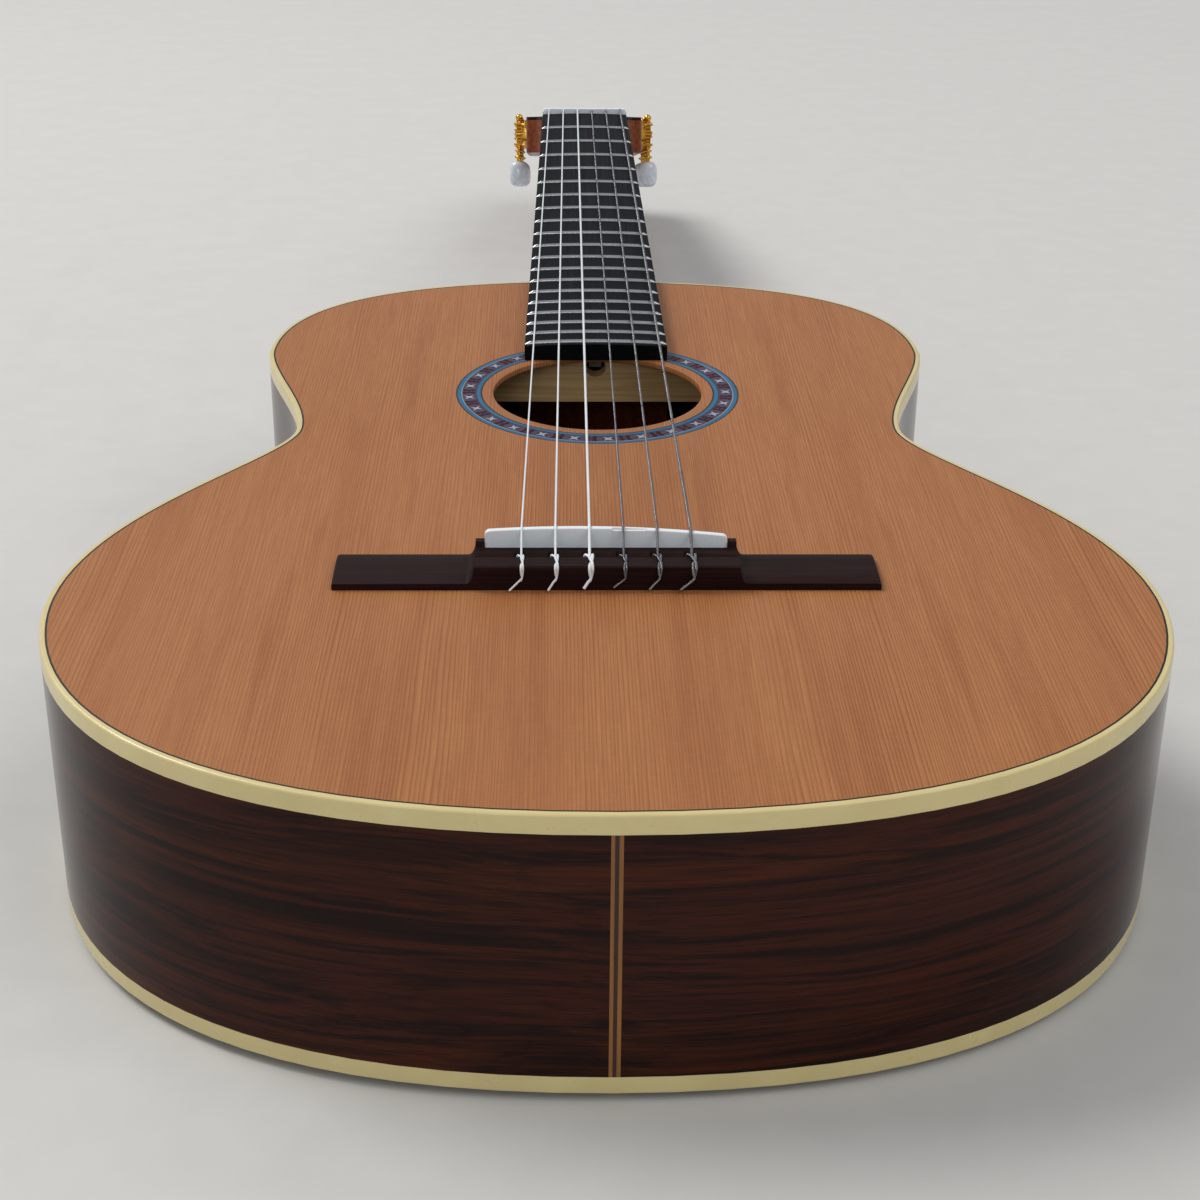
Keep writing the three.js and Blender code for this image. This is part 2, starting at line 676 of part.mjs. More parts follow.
// Height of the arched playing surface above its bottom face.
function boardHeightAt(x) {
  return BOARD_THICKNESS - BOARD_RADIUS + Math.sqrt(BOARD_RADIUS ** 2 - x ** 2);
}

function boardSection(half, floor, rise) {
  const points = [[-half, floor], [half, floor]];
  for (let i = BOARD_ARC_STEPS; i >= 0; i -= 1) {
    const x = half * (2 * i / BOARD_ARC_STEPS - 1);
    points.push([x, boardHeightAt(x) + rise]);
  }
  return points;
}

function makeFingerboard() {
  const ends = [SCALE_LENGTH, BOARD_END_Y].map((y) => boardSection(boardWidthAt(y) / 2, 0, 0)
    .map(([x, z]) => new THREE.Vector3(x, y, TOP_Z + z)));
  const pieces = [loft(ends)];
  for (let n = 1; n <= FRET_COUNT; n += 1) {
    const y = SCALE_LENGTH * 2 ** (-n / 12);
    const half = boardWidthAt(y) / 2 - FRET.inset;
    const section = boardSection(half, BOARD_THICKNESS - FRET.root, FRET.height);
    const profile = section.map(([x, z]) => [x, TOP_Z + z]);
    pieces.push(extrudeAlong(profile, y - FRET.width / 2, y + FRET.width / 2));
  }
  return geometryOf(union(pieces));
}

// ---------------------------------------------------------------- strings

const middleString = (STRING_COUNT - 1) / 2;
const saddleX = (i) => (i - middleString) * SADDLE_SPACING;
const nutX = (i) => (i - middleString) * NUT_SPACING;

function saddleTopAt(x) {
  const share = x / SADDLE.halfLength;
  return SADDLE_TOP.height - SADDLE_TOP.lean * share - SADDLE_TOP.crown * share ** 2;
}

// A point given in the head's frame.
function headPoint(x, along, out) {
  return new THREE.Vector3(
    x,
    HEAD_START.y + along * Math.cos(HEAD_TILT) + out * Math.sin(HEAD_TILT),
    HEAD_START.z - along * Math.sin(HEAD_TILT) + out * Math.cos(HEAD_TILT),
  );
}

// Outer strings go to the rollers nearest the nut, inner strings to the farthest.
function machineOf(i) {
  const side = i < STRING_COUNT / 2 ? -1 : 1;
  const row = side < 0 ? i : STRING_COUNT - 1 - i;
  return { side, ...ROLLERS[row] };
}

function nutStringPoint(i, y) {
  const z = TOP_Z + NUT.height - NUT.grooveDepth + STRING_RADII[i] + STRING_CLEARANCE;
  return new THREE.Vector3(nutX(i), y, z);
}

// From the roller over the nut and the saddle, through the tie block, up its tail face,
// round the string in front of the block and back down to a free end.
function stringRoute(i) {
  const r = STRING_RADII[i];
  const { side, along, landing } = machineOf(i);
  const x = saddleX(i);
  const { tieHeight, tieFrontY } = BRIDGE_BLOCK;
  const { standOff, lip, spread, hook, endOut, endZ } = KNOT;
  const tieTop = tieHeight + r + GAP;
  const saddleZ = saddleTopAt(x) + r + STRING_CLEARANCE;
  const aside = 2 * r + spread;
  const tailY = BRIDGE.tailY - STRING_CLEARANCE;
  const faceY = BRIDGE.tailY - standOff - r;
  const at = (dx, y, z) => new THREE.Vector3(x + dx, y, TOP_Z + z);
  return [
    headPoint(side * landing, along, -ROLLER.depth + BORE_RADIUS + r),
    nutStringPoint(i, HEAD_START.y + NUT_BEND.head),
    nutStringPoint(i, SCALE_LENGTH - NUT_BEND.tail),
    at(0, SADDLE_BEND.headY, saddleZ),
    at(0, SADDLE_BEND.tailY, saddleZ),
    at(0, tieFrontY + r, TIE_HOLE.entryZ),
    at(0, tailY - r, TIE_HOLE.exitZ),
    at(0, faceY, TIE_HOLE.exitZ + lip),
    at(0, faceY, tieTop - lip),
    at(0, tailY, tieTop),
    at(0, tieFrontY - hook, tieTop),
    at(-aside / 2, tieFrontY, tieTop),
    at(-aside, tieFrontY - hook, tieTop),
    at(-aside, tailY, tieTop),
    at(-aside - spread, faceY, tieTop - hook),
    at(-aside - endOut, BRIDGE.tailY - endOut, endZ),
  ];
}

function makeNut() {
  const half = NUT.width / 2;
  const block = solid(box(-half, half, SCALE_LENGTH, HEAD_START.y, TOP_Z, TOP_Z + NUT.height));
  const grooves = STRING_RADII.flatMap((stringRadius, i) => {
    const from = nutStringPoint(i, SCALE_LENGTH - OVERCUT);
    const to = nutStringPoint(i, HEAD_START.y + OVERCUT);
    const r = stringRadius + 2 * STRING_CLEARANCE;
    return [
      rod(from, to, r, SMALL_TURNING_STEPS),
      box(from.x - r, from.x + r, from.y, to.y, from.z, TOP_Z + NUT.height + OVERCUT),
    ];
  });
  return geometryOf(cut(block, grooves));
}

// ---------------------------------------------------------------- bridge

function makeBridge() {
  const { halfLength, tailY, headY, wingHeight } = BRIDGE;
  const { tieHeight, tieFrontY, channelZ } = BRIDGE_BLOCK;
  const wings = box(-halfLength, halfLength, tailY, headY, 0, wingHeight);
  const { height: wall, slope } = SADDLE_WALL;
  const block = extrudeAcross([
    [tailY, 0],
    [headY, 0],
    [headY, wall - slope],
    [SADDLE.headY + GAP, wall],
    [SADDLE.tailY - GAP, wall],
    [SADDLE.tailY - GAP, SHELF.z],
    [SHELF.topY, SHELF.z],
    [SHELF.rampY, channelZ],
    [tieFrontY, channelZ],
    [tieFrontY, tieHeight],
    [tailY, tieHeight],
  ], BRIDGE_BLOCK.halfLength);
  const saddleHalf = SADDLE.halfLength + GAP;
  const slotTail = SADDLE.tailY - GAP;
  const slotHead = SADDLE.headY + GAP;
  const cuts = [
    box(-saddleHalf, saddleHalf, slotTail, slotHead, SADDLE.slotZ, wall + OVERCUT),
  ];
  const ramp = STRING_RAMP;
  STRING_RADII.forEach((r, i) => {
    const x = saddleX(i);
    const from = new THREE.Vector3(x, tieFrontY + OVERCUT, TIE_HOLE.entryZ);
    const to = new THREE.Vector3(x, tailY - OVERCUT, TIE_HOLE.exitZ);
    cuts.push(rod(from, to, r + GAP, SMALL_TURNING_STEPS));
    cuts.push(box(x - ramp.halfWidth, x + ramp.halfWidth, tieFrontY, SHELF.topY + ramp.reach,
      channelZ - ramp.depth, wall));
  });
  return geometryOf(cut(union([wings, block]), cuts).translate([0, 0, TOP_Z]));
}

function makeSaddle() {
  const { halfLength, tailY, headY, slotZ } = SADDLE;
  const profile = [[-halfLength, slotZ], [halfLength, slotZ]];
  for (let i = SADDLE_ARC_STEPS; i >= 0; i -= 1) {
    const x = halfLength * (2 * i / SADDLE_ARC_STEPS - 1);
    profile.push([x, saddleTopAt(x)]);
  }
  const raised = profile.map(([x, z]) => [x, TOP_Z + z]);
  const blade = solid(extrudeAlong(raised, tailY, headY));
  const { from, to, depth, cut: back } = SADDLE_STEP;
  const top = TOP_Z + SADDLE_TOP.height;
  return geometryOf(cut(blade, [
    box(from, to, tailY - OVERCUT, tailY + back, top - depth, top + OVERCUT),
  ]));
}

// ---------------------------------------------------------------- tuning machines

function makePlate(side) {
  const inner = HEAD.halfWidth;
  const outer = inner + PLATE.thickness;
  const across = (a, b) => [Math.min(side * a, side * b), Math.max(side * a, side * b)];
  const pieces = [box(...across(inner, outer), PLATE.from, PLATE.to, PLATE.low, PLATE.high)];
  const holes = [];
  for (const { along } of ROLLERS) {
    const wormAlong = along + CENTRE_DISTANCE;
    for (const end of [-1, 1]) {
      const z = -ROLLER.depth + end * EAR.offset;
      pieces.push(box(
        ...across(outer - EAR.root, EAR.reach),
        wormAlong - EAR.halfWidth,
        wormAlong + EAR.halfWidth,
        z - EAR.thickness / 2,
        z + EAR.thickness / 2,
      ));
    }
    holes.push(rod(
      new THREE.Vector3(side * WORM_X, wormAlong, PLATE.low),
      new THREE.Vector3(side * WORM_X, wormAlong, PLATE.high),
      SHAFT_HOLE_RADIUS,
      SMALL_TURNING_STEPS,
    ));
    holes.push(rod(
      new THREE.Vector3(side * (inner - OVERCUT), along, -ROLLER.depth),
      new THREE.Vector3(side * (outer + OVERCUT), along, -ROLLER.depth),
      SPINDLE_RADIUS + GAP,
      SMALL_TURNING_STEPS,
    ));
  }
  return geometryOf(cut(union(pieces), holes));
}

// The thread is a cylinder whose rows of points step round it once in each lead.
function wormThread() {
  const { rootRadius, tipRadius, turns, steps, ridgeSteps } = WORM;
  const rows = turns * steps;
  const length = turns * WORM_LEAD;
  const geometry = new THREE.CylinderGeometry(1, 1, length, steps, rows);
  const position = geometry.attributes.position;
  const rowHeight = length / rows;
  for (let i = 0; i < position.count; i += 1) {
    const x = position.getX(i);
    const z = position.getZ(i);
    if (Math.hypot(x, z) > 0) {
      const angle = Math.atan2(x, z) / (2 * Math.PI) * steps;
      const row = position.getY(i) / rowHeight + rows / 2;
      const phase = (Math.round(row - rows / 2 - angle) % steps + steps) % steps;
      const radius = phase < ridgeSteps ? tipRadius : rootRadius;
      position.setXYZ(i, x * radius, position.getY(i), z * radius);
    }
  }
  geometry.translate(0, -rowHeight / 2, 0);
  return geometry.rotateX(Math.PI / 2);
}

function makeWormShaft() {
  const r = SHAFT_RADIUS;
  const toAxis = (z) => z + ROLLER.depth;
  const foot = toAxis(BUTTON.top - BUTTON.bore);
  const profile = [[0, foot], [r, foot]];
  for (const { z, radius } of [...COLLARS].reverse()) {
    const low = toAxis(z - COLLAR_HALF_HEIGHT);
    const high = toAxis(z + COLLAR_HALF_HEIGHT);
    profile.push([r, low - COLLAR_BEVEL], [radius, low]);
    profile.push([radius, high], [r, high + COLLAR_BEVEL]);
  }
  const ball = END_BALL.radius;
  const ballZ = toAxis(END_BALL.z);
  const eighth = Math.SQRT1_2 * ball;
  profile.push([r, ballZ - eighth], [ball, ballZ], [eighth, ballZ + eighth], [0, ballZ + ball]);
  const shaft = turnedUp(profile, SMALL_TURNING_STEPS);
  return geometryOf(solid(shaft).add(solid(wormThread())));
}

function makeButton() {
  const { halfWidth, top, bottom, flatness, bore: boreDepth } = BUTTON;
  const barrel = BARREL_ROWS.map((share) => {
    const fromMiddle = Math.abs(2 * share - 1);
    const radius = halfWidth * (1 - fromMiddle ** BARREL_POWER) ** (1 / BARREL_POWER);
    return [radius, THREE.MathUtils.lerp(bottom, top, share)];
  });
  const oval = turnedUp(barrel).scale(1, flatness, 1);
  const bore = turnedUp([
    [0, top - boreDepth - GAP],
    [SHAFT_RADIUS + GAP, top - boreDepth - GAP],
    [SHAFT_RADIUS + GAP, top + OVERCUT],
    [0, top + OVERCUT],
  ], SMALL_TURNING_STEPS);
  const centred = geometryOf(cut(solid(oval), [bore]));
  return centred.translate(0, 0, ROLLER.depth);
}

function gearShape() {
  const points = [];
  const corners = [[TOOTH_ROOT, -1], [TOOTH_TIP, -1], [TOOTH_TIP, 1], [TOOTH_ROOT, 1]];
  for (let i = 0; i < GEAR_TEETH; i += 1) {
    const middle = Math.PI / 2 + (i + 0.5) * 2 * Math.PI / GEAR_TEETH;
    for (const [{ radius, halfAngle }, turn] of corners) {
      const angle = middle + turn * halfAngle;
      points.push(vector(radius * Math.cos(angle), radius * Math.sin(angle)));
    }
  }
  return new THREE.Shape(points);
}

// The gear stands on a hub outside the plate, and a screw holds it to the spindle.
function makeGear(side) {
  const inner = HEAD.halfWidth + PLATE.thickness + GAP;
  const face = WORM_X - GEAR.width / 2;
  const teeth = extrudeUp(gearShape(), -GEAR.width / 2, GEAR.width);
  teeth.rotateX(Math.PI / 2).rotateZ(Math.PI / 2).rotateX(Math.PI / 2);
  teeth.translate(side * WORM_X, 0, 0);
  const hub = turnedAcross([
    [0, inner],
    [GEAR.hubRadius, inner],
    [GEAR.hubRadius, face + GEAR.overlap],
    [0, face + GEAR.overlap],
  ], side, SMALL_TURNING_STEPS);
  const outer = WORM_X + GEAR.width / 2;
  const { radius, edge, topRadius, height } = GEAR_SCREW;
  const screw = turnedAcross([
    [0, outer - GEAR.overlap],
    [radius, outer - GEAR.overlap],
    [radius, outer + edge],
    [topRadius, outer + height],
    [0, outer + height],
  ], side, SMALL_TURNING_STEPS);
  return geometryOf(union([teeth, hub, screw]));
}

function makeRoller(side) {
  const spindleEnd = HEAD.halfWidth + PLATE.thickness + GAP;
  return turnedAcross([
    [0, ROLLER.innerX],
    [ROLLER.radius, ROLLER.innerX],
    [ROLLER.radius, ROLLER.outerX],
    [SPINDLE_RADIUS, ROLLER.outerX],
    [SPINDLE_RADIUS, spindleEnd],
    [0, spindleEnd],
  ], side);
}

function makeWinding(i) {
  const { side, landing, windSide } = machineOf(i);
  const r = STRING_RADII[i];
  const near = landing + windSide * (r + GAP);
  const far = near + windSide * WINDING_WIDTH;
  const low = Math.min(near, far);
  const high = Math.max(near, far);
  const inner = ROLLER.radius + GAP;
  const outer = inner + 2 * r;
  return turnedAcross([
    [inner, low],
    [outer, low],
    [outer, high],
    [inner, high],
    [inner, low],
  ], side);
}

// ---------------------------------------------------------------- assembly

const guitar = new THREE.Group();
guitar.position.y = SADDLE_Y;

add(guitar, 'soundboard', makeSoundboard(), cedar());
add(guitar, 'rosette', rosetteRing(0, ROSETTE.depth), mosaic());
add(guitar, 'soundhole_bar', makeUpperBar(), spruce());
add(guitar, 'soundboard_bracing', makeSoundboardBracing(), spruce());
add(guitar, 'back', makeBack(), rosewood());
add(guitar, 'back_bracing', makeBackBracing(), spruce());
add(guitar, 'rib_left', makeRib(-1), rosewood());
add(guitar, 'rib_right', makeRib(1), rosewood());
add(guitar, 'lining_top', openForRod(makeLining(LINING_TOP_Z)), spruce());
add(guitar, 'lining_back', makeLining(LINING_BACK_Z), spruce());
add(guitar, 'binding_top', openForRod(makeBinding(TOP_Z - BINDING_HEIGHT)), cream());
add(guitar, 'binding_back', makeBinding(BACK_RIM_Z), cream());
add(guitar, 'neck_block', makeNeckBlock(), spruce());
add(guitar, 'tail_block', makeTailBlock(), spruce());
const stripHalf = TAIL_STRIP_WIDTH / 2;
const stripTo = TAIL.y + RIB_THICKNESS;
const tailStrip = box(-stripHalf, stripHalf, TAIL.y, stripTo, RIB_BOTTOM, RIB_TOP);
add(guitar, 'tail_strip', tailStrip, stripWood());

add(guitar, 'neck', makeNeck(), mahogany());
add(guitar, 'head_veneer', makeHeadVeneer(), rosewood());
const rodHalf = TRUSS_ROD.halfWidth;
const trussRod = box(-rodHalf, rodHalf, TRUSS_ROD.from, TRUSS_ROD.to, TRUSS_ROD_Z,
  TRUSS_ROD_Z + TRUSS_ROD.height);
add(guitar, 'truss_rod', trussRod, steel());
add(guitar, 'fingerboard', makeFingerboard(), ebony());
add(guitar, 'nut', makeNut(), bone());
add(guitar, 'bridge', makeBridge(), bridgeWood());
add(guitar, 'saddle', makeSaddle(), bone());

const head = new THREE.Group();
head.position.set(0, HEAD_START.y, HEAD_START.z);
head.rotation.x = -HEAD_TILT;
guitar.add(head);

add(head, 'machine_plate_left', makePlate(-1), gold());
add(head, 'machine_plate_right', makePlate(1), gold());

for (let i = 0; i < STRING_COUNT; i += 1) {
  const number = i + 1;
  const { side, along } = machineOf(i);
  const stringMaterial = i < 3 ? nylon : silver;
  add(guitar, `string_${number}`, tube(stringRoute(i), STRING_RADII[i]), stringMaterial());

  const rollerAxis = new THREE.Group();
  rollerAxis.position.set(0, along, -ROLLER.depth);
  head.add(rollerAxis);
  add(rollerAxis, `roller_${number}`, makeRoller(side), bone());
  add(rollerAxis, `gear_${number}`, makeGear(side), gold());
  add(rollerAxis, `winding_${number}`, makeWinding(i), stringMaterial());

  const wormAxis = new THREE.Group();
  wormAxis.position.set(side * WORM_X, along + CENTRE_DISTANCE, -ROLLER.depth);
  head.add(wormAxis);
  add(wormAxis, `worm_shaft_${number}`, makeWormShaft(), gold());
  add(wormAxis, `button_${number}`, makeButton(), pearl());
}

export default guitar;
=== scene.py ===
"""The looks of a classical guitar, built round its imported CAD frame.

Shapes are made in millimetres in the guitar's own frame: x across the body, y along it
from the saddle line, z up from the lowest flat of the back. piece() moves them into the
frame that the CAD model is packed in, which is in metres.
"""

from math import copysign, cos, hypot, pi, radians, sin, sqrt

import bmesh
import bpy
from mathutils import Matrix, Vector


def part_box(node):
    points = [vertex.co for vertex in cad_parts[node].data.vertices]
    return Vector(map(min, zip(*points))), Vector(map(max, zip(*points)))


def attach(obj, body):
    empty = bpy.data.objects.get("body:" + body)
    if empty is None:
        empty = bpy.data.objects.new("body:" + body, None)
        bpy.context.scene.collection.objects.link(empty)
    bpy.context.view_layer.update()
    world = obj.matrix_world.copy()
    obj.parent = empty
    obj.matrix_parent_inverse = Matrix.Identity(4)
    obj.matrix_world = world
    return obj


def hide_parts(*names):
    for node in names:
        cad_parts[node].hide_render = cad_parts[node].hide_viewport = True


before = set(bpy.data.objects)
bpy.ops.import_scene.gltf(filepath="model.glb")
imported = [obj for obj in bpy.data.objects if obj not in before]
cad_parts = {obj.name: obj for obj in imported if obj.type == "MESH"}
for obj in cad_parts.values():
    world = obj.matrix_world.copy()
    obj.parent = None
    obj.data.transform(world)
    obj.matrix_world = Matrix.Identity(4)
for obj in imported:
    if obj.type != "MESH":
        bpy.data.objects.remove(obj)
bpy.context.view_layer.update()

# ---- sizes, in millimetres

MM = 0.001
SCALE_LENGTH = 650
FRET_COUNT = 19
GUITAR = "guitar_body"
SADDLE_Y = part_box("nut")[0].y / MM - SCALE_LENGTH
TOP_Z = round(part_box("soundboard")[1].z / MM, 1)

# Body outline, right half: each knot is where the edge runs straight along x or y.
TAIL = (0, -167.6)
LOWER_BOUT = (189.6, -26.8)
WAIST = (122.6, 131.1)
UPPER_BOUT = (144.8, 227.8)
SHOULDER = (0, 329.7)
OUTLINE_CURVES = [
    (TAIL, (175, -167.6), (189.6, -59.3), LOWER_BOUT),
    (LOWER_BOUT, (189.6, 49.9), (122.6, 100.9), WAIST),
    (WAIST, (122.6, 161.1), (144.8, 200.9), UPPER_BOUT),
    (UPPER_BOUT, (144.8, 291.5), (97.8, 329.7), SHOULDER),
]
OUTLINE_STEPS = 28
ROUND_STEPS = 128

BACK_RIM_Z = 3
BINDING_WIDTH = 2
BINDING_HEIGHT = 6.5
BINDING_ROUND = 0.9
PURFLING_WIDTH = 0.7
PURFLING_HEIGHT = 1.5
PLATE = 2.5
RIB = 2
BACK_MIDDLE_Y = 81
BACK_SHRINK = 0.13
SEAM_HALF = 1.6
SEAM_LIGHT_HALF = 0.7
TAIL_STRIP_HALF = 1.8
TAIL_STRIP_EDGES = (-TAIL_STRIP_HALF, -0.65, 0.55, TAIL_STRIP_HALF)
SIDES = (("left", -1), ("right", 1))

HOLE_Y = 174.2
HOLE_RADIUS = 44.1
ROSETTE_DEPTH = 1.2
ROSETTE_UNITS = 25

NUT_HALF = 26
NUT_THICKNESS = 5
NUT_HEIGHT = 10.4
NUT_GROOVE = 1.35
NUT_ROUNDING = 2.2
NUT_DROP = 1
JOIN_HALF = 30
BOARD_END_Y = 213.5
BOARD_THICKNESS = 7.5
BOARD_RADIUS = 500
FRET_WIDTH = 2
FRET_HEIGHT = 1.1
FRET_END = 0.9
FRET_SUNK = 0.3

HEAD_TILT = radians(15)
HEAD_Y = SCALE_LENGTH + NUT_THICKNESS
HEAD_Z = 105.5
HEAD_LENGTH = 185
HEAD_HALF = 36.5
HEAD_THICKNESS = 22
HEAD_SHOULDER = 14
HEAD_CORNER = 3.4
CREST_HALF = 18
VENEER = 2
# A slot: its edges' distances from the middle, and both ends along the head.
SLOT = (9, 24, 13, 128)
# For each row of machines: the place along the head, where the string lands on its roller,
# counted from the middle, and whether its turns go inward or outward from there.
ROLLER_PLACES = (40, 75, 110)
LANDINGS = (20.5, 17, 15.5)
WIND_SIDES = (-1, -1, 1)
ROLLER_RADIUS = 5
ROLLER_START = 4.5
AXIS_DEPTH = 10
WORM_X = 41.5
CENTRE_DISTANCE = 8.8
GEAR_TEETH = 14
GEAR_PITCH = 6
PLATE_THICKNESS = 1.2
# A side plate: both ends along the head, both edges' heights, and the corners' radius.
MACHINE_PLATE = (20, 131, -19, -1.5, 6)
BEARING_RADIUS = 2
EAR_HALF = 3.4
EAR_REACH = 3.5
EAR_OFFSET = 6.4
EAR_THICKNESS = 1.6
# Places along the head and depths under its face.
PLATE_SCREWS = ((25.5, 10), (62, 4.5), (62, 16), (97, 4.5), (97, 16), (125.8, 4.5), (125.8, 16))
# Half of a gear's tooth: radius and half angle in radians, from root to tip.
TOOTH = ((5.1, 0.137), (5.6, 0.115), (6.3, 0.085), (6.8, 0.05))
GEAR_HALF = 1.5
THREAD_ROOT = 1.9
THREAD_TIP = 3.5
THREAD_TURNS = 2.5
SHAFT_RADIUS = 1.7
BALL_RADIUS = 2.4
BALL_Z = 0.4
BUTTON_TOP = -27
BUTTON_BOTTOM = -43.2
BUTTON_HALF = 6.4
BUTTON_POWER = 2 / 3
BUTTON_SQUASH = 0.7

BRIDGE_HALF = 94.2
BRIDGE_TAIL = -20.9
BRIDGE_HEAD = 3.3
WING_HEIGHT = 3
BLOCK_HALF = 45.5
BLOCK_FILLET = 3
TIE_HEIGHT = 8.9
TIE_FRONT = -12.8
SADDLE_HALF = 42.3
SADDLE_BACK = -1.4
SADDLE_FRONT = 1
SADDLE_HEIGHT = 14.5
SADDLE_CROWN = 1.9
SADDLE_LEAN = 0.9
SHELF_Z = 7.2
WALL_Z = 9.6
SLOT_FLOOR = 2.5
SLOT_GAP = 0.05
SADDLE_CORNER = 1.6
# The low step on the saddle's tail side: from and to across, and its size.
SADDLE_STEP = (2, 14, 0.9)

STRING_RADII = (0.355, 0.41, 0.515, 0.38, 0.455, 0.545)
SADDLE_SPACING = 11.78
NUT_SPACING = 8.8
STRINGS = range(6)
TIE_ENTRY_Z = 6.5
TIE_EXIT_Z = 3.6
TIE_EXIT_RISE = 0.45
WINDING_WIDTH = 4.3
# From one turn to the next on a roller, in radii of the string.
TURN_PITCH = 2.1
TURN_GAP = 0.02
TURN_STEPS = 24
# The string's end overlaps its first turn, so no gap opens when the roller turns.
STRING_END_ANGLES = (26, 20, 14, 8, 2)
KNOT_TWIST = 0.93
KNOT_OPEN = 0.35
# How far each free end reaches aside and drops.
KNOT_TAILS = ((3.7, 3.4), (2.2, 3.2), (1.8, 2.4), (3.4, 2.2), (3.0, 2.9), (4.2, 3.0))

# The camera's place, and its turns to the right, up and anticlockwise in radians.
CAMERA_PLACE = (-17.0, -684.4, 317.7 + TOP_Z)
CAMERA_TURN = (0.022, -0.451, 0.009)
SENSOR_WIDTH = 36
LENS = 64.48
# Half the floor's side, in metres.
FLOOR_HALF = 40


# ---- shape helpers

def cubic(points, t):
    """A point of a cubic curve, and its direction."""
    a, b, c, d = (Vector(p) for p in points)
    s = 1 - t
    point = a * s**3 + b * 3 * s * s * t + c * 3 * s * t * t + d * t**3
    slope = (b - a) * s * s + (c - b) * 2 * s * t + (d - c) * t * t
    return point, slope.normalized()


def bend(points, steps):
    """Points of a quadratic curve, without its first point."""
    a, b, c = (Vector(p) for p in points)
    shares = [i / steps for i in range(1, steps + 1)]
    return [tuple(a * (1 - t) ** 2 + b * 2 * (1 - t) * t + c * t * t) for t in shares]


def half_outline():
    """The right half of the body's edge from tail to neck: x, y and outward normal."""
    rows = []
    for order, curve in enumerate(OUTLINE_CURVES):
        for i in range(0 if order == 0 else 1, OUTLINE_STEPS + 1):
            point, slope = cubic(curve, i / OUTLINE_STEPS)
            rows.append((point.x, point.y, slope.y, -slope.x))
    return rows


def arc(x, y, radius, start, end, steps):
    """Points along a circle between two angles in degrees."""
    turns = [radians(start + (end - start) * k / steps) for k in range(steps + 1)]
    return [(x + radius * cos(a), y + radius * sin(a)) for a in turns]


def circle(x, y, radius, steps=24):
    return arc(x, y, radius, 0, 360, steps)[:-1]


def fullness(distance, radius):
    """The share of its height that a rounded end has reached at a distance from its tip."""
    near = min(1.0, distance / radius)
    return sqrt(max(0.0, 1 - (1 - near) ** 2))


HALF = half_outline()
WHOLE = HALF + [(-x, y, -nx, ny) for x, y, nx, ny in reversed(HALF[1:-1])]


def skin(rings, looped=False):
    """Faces through rings of equal length, with the last joined to the first or both capped."""
    size = len(rings[0])
    points = [Vector(p) for ring in rings for p in ring]
    faces = []
    for r in range(len(rings) if looped else len(rings) - 1):
        a = r * size
        b = (r + 1) % len(rings) * size
        for i in range(size):
            j = (i + 1) % size
            faces.append((a + i, a + j, b + j, b + i))
    if not looped:
        faces.append(tuple(range(size)))
        faces.append(tuple(range(len(points) - size, len(points))))
    return points, faces


def joined(*shapes):
    points, faces = [], []
    for more_points, more_faces in shapes:
        start = len(points)
        points += more_points
        faces += [tuple(i + start for i in face) for face in more_faces]
    return points, faces


def moved(shape, change):
    """A shape with every point passed through a function."""
    points, faces = shape
    return [Vector(change(p)) for p in points], faces


def box(x0, x1, y0, y1, z0, z1):
    corners = [(x0, y0), (x1, y0), (x1, y1), (x0, y1)]
    return skin([[(x, y, z) for x, y in corners] for z in (z0, z1)])


def across(loop, xs, base=0):
    """A loop of y and z above a base, run across from one x to another."""
    return skin([[(x, y, base + z) for y, z in loop] for x in xs])


def turned(profile, segments=32, squash=1):
    """A profile of radius and height, turned about the z axis."""
    turns = circle(0, 0, 1, segments)
    return skin([[(r * c, r * s * squash, h) for c, s in turns] for r, h in profile])


def ring_of(profile):
    """A closed profile of radius and height, turned about the axis of the soundhole."""
    turns = circle(0, 0, 1, ROUND_STEPS)
    return skin([[(r * c, HOLE_Y + r * s, z) for r, z in profile] for c, s in turns], looped=True)


def extruded(outer, holes, low, high):
    """A flat shape with holes, given as loops of x and y, made solid between two heights."""
    bm = bmesh.new()
    for z in (low, high):
        edges = []
        for loop in (outer, *holes):
            corners = [bm.verts.new((x, y, z)) for x, y in loop]
            pairs = zip(corners, corners[1:] + corners[:1])
            edges += [bm.edges.new(pair) for pair in pairs]
        bmesh.ops.triangle_fill(bm, use_beauty=True, use_dissolve=False, edges=edges)
    bm.verts.index_update()
    points = [v.co.copy() for v in bm.verts]
    faces = [tuple(v.index for v in face.verts) for face in bm.faces]
    bm.free()
    start = 0
    layer = len(points) // 2
    for loop in (outer, *holes):
        for i in range(len(loop)):
            a, b = start + i, start + (i + 1) % len(loop)
            faces.append((a, b, b + layer, a + layer))
        start += len(loop)
    return points, faces


def smooth_path(points, steps):
    """A curve through points, each stretch cut into the same number of steps."""
    p = [Vector(x) for x in points]
    p = [p[0] * 2 - p[1], *p, p[-1] * 2 - p[-2]]
    path = []
    for i in range(1, len(p) - 2):
        a, b, c, d = p[i - 1 : i + 3]
        for k in range(steps):
            t = k / steps
            path.append(0.5 * (
                2 * b + (c - a) * t + (2 * a - 5 * b + 4 * c - d) * t * t
                + (3 * b - a - 3 * c + d) * t**3
            ))
    return path + [p[-2]]


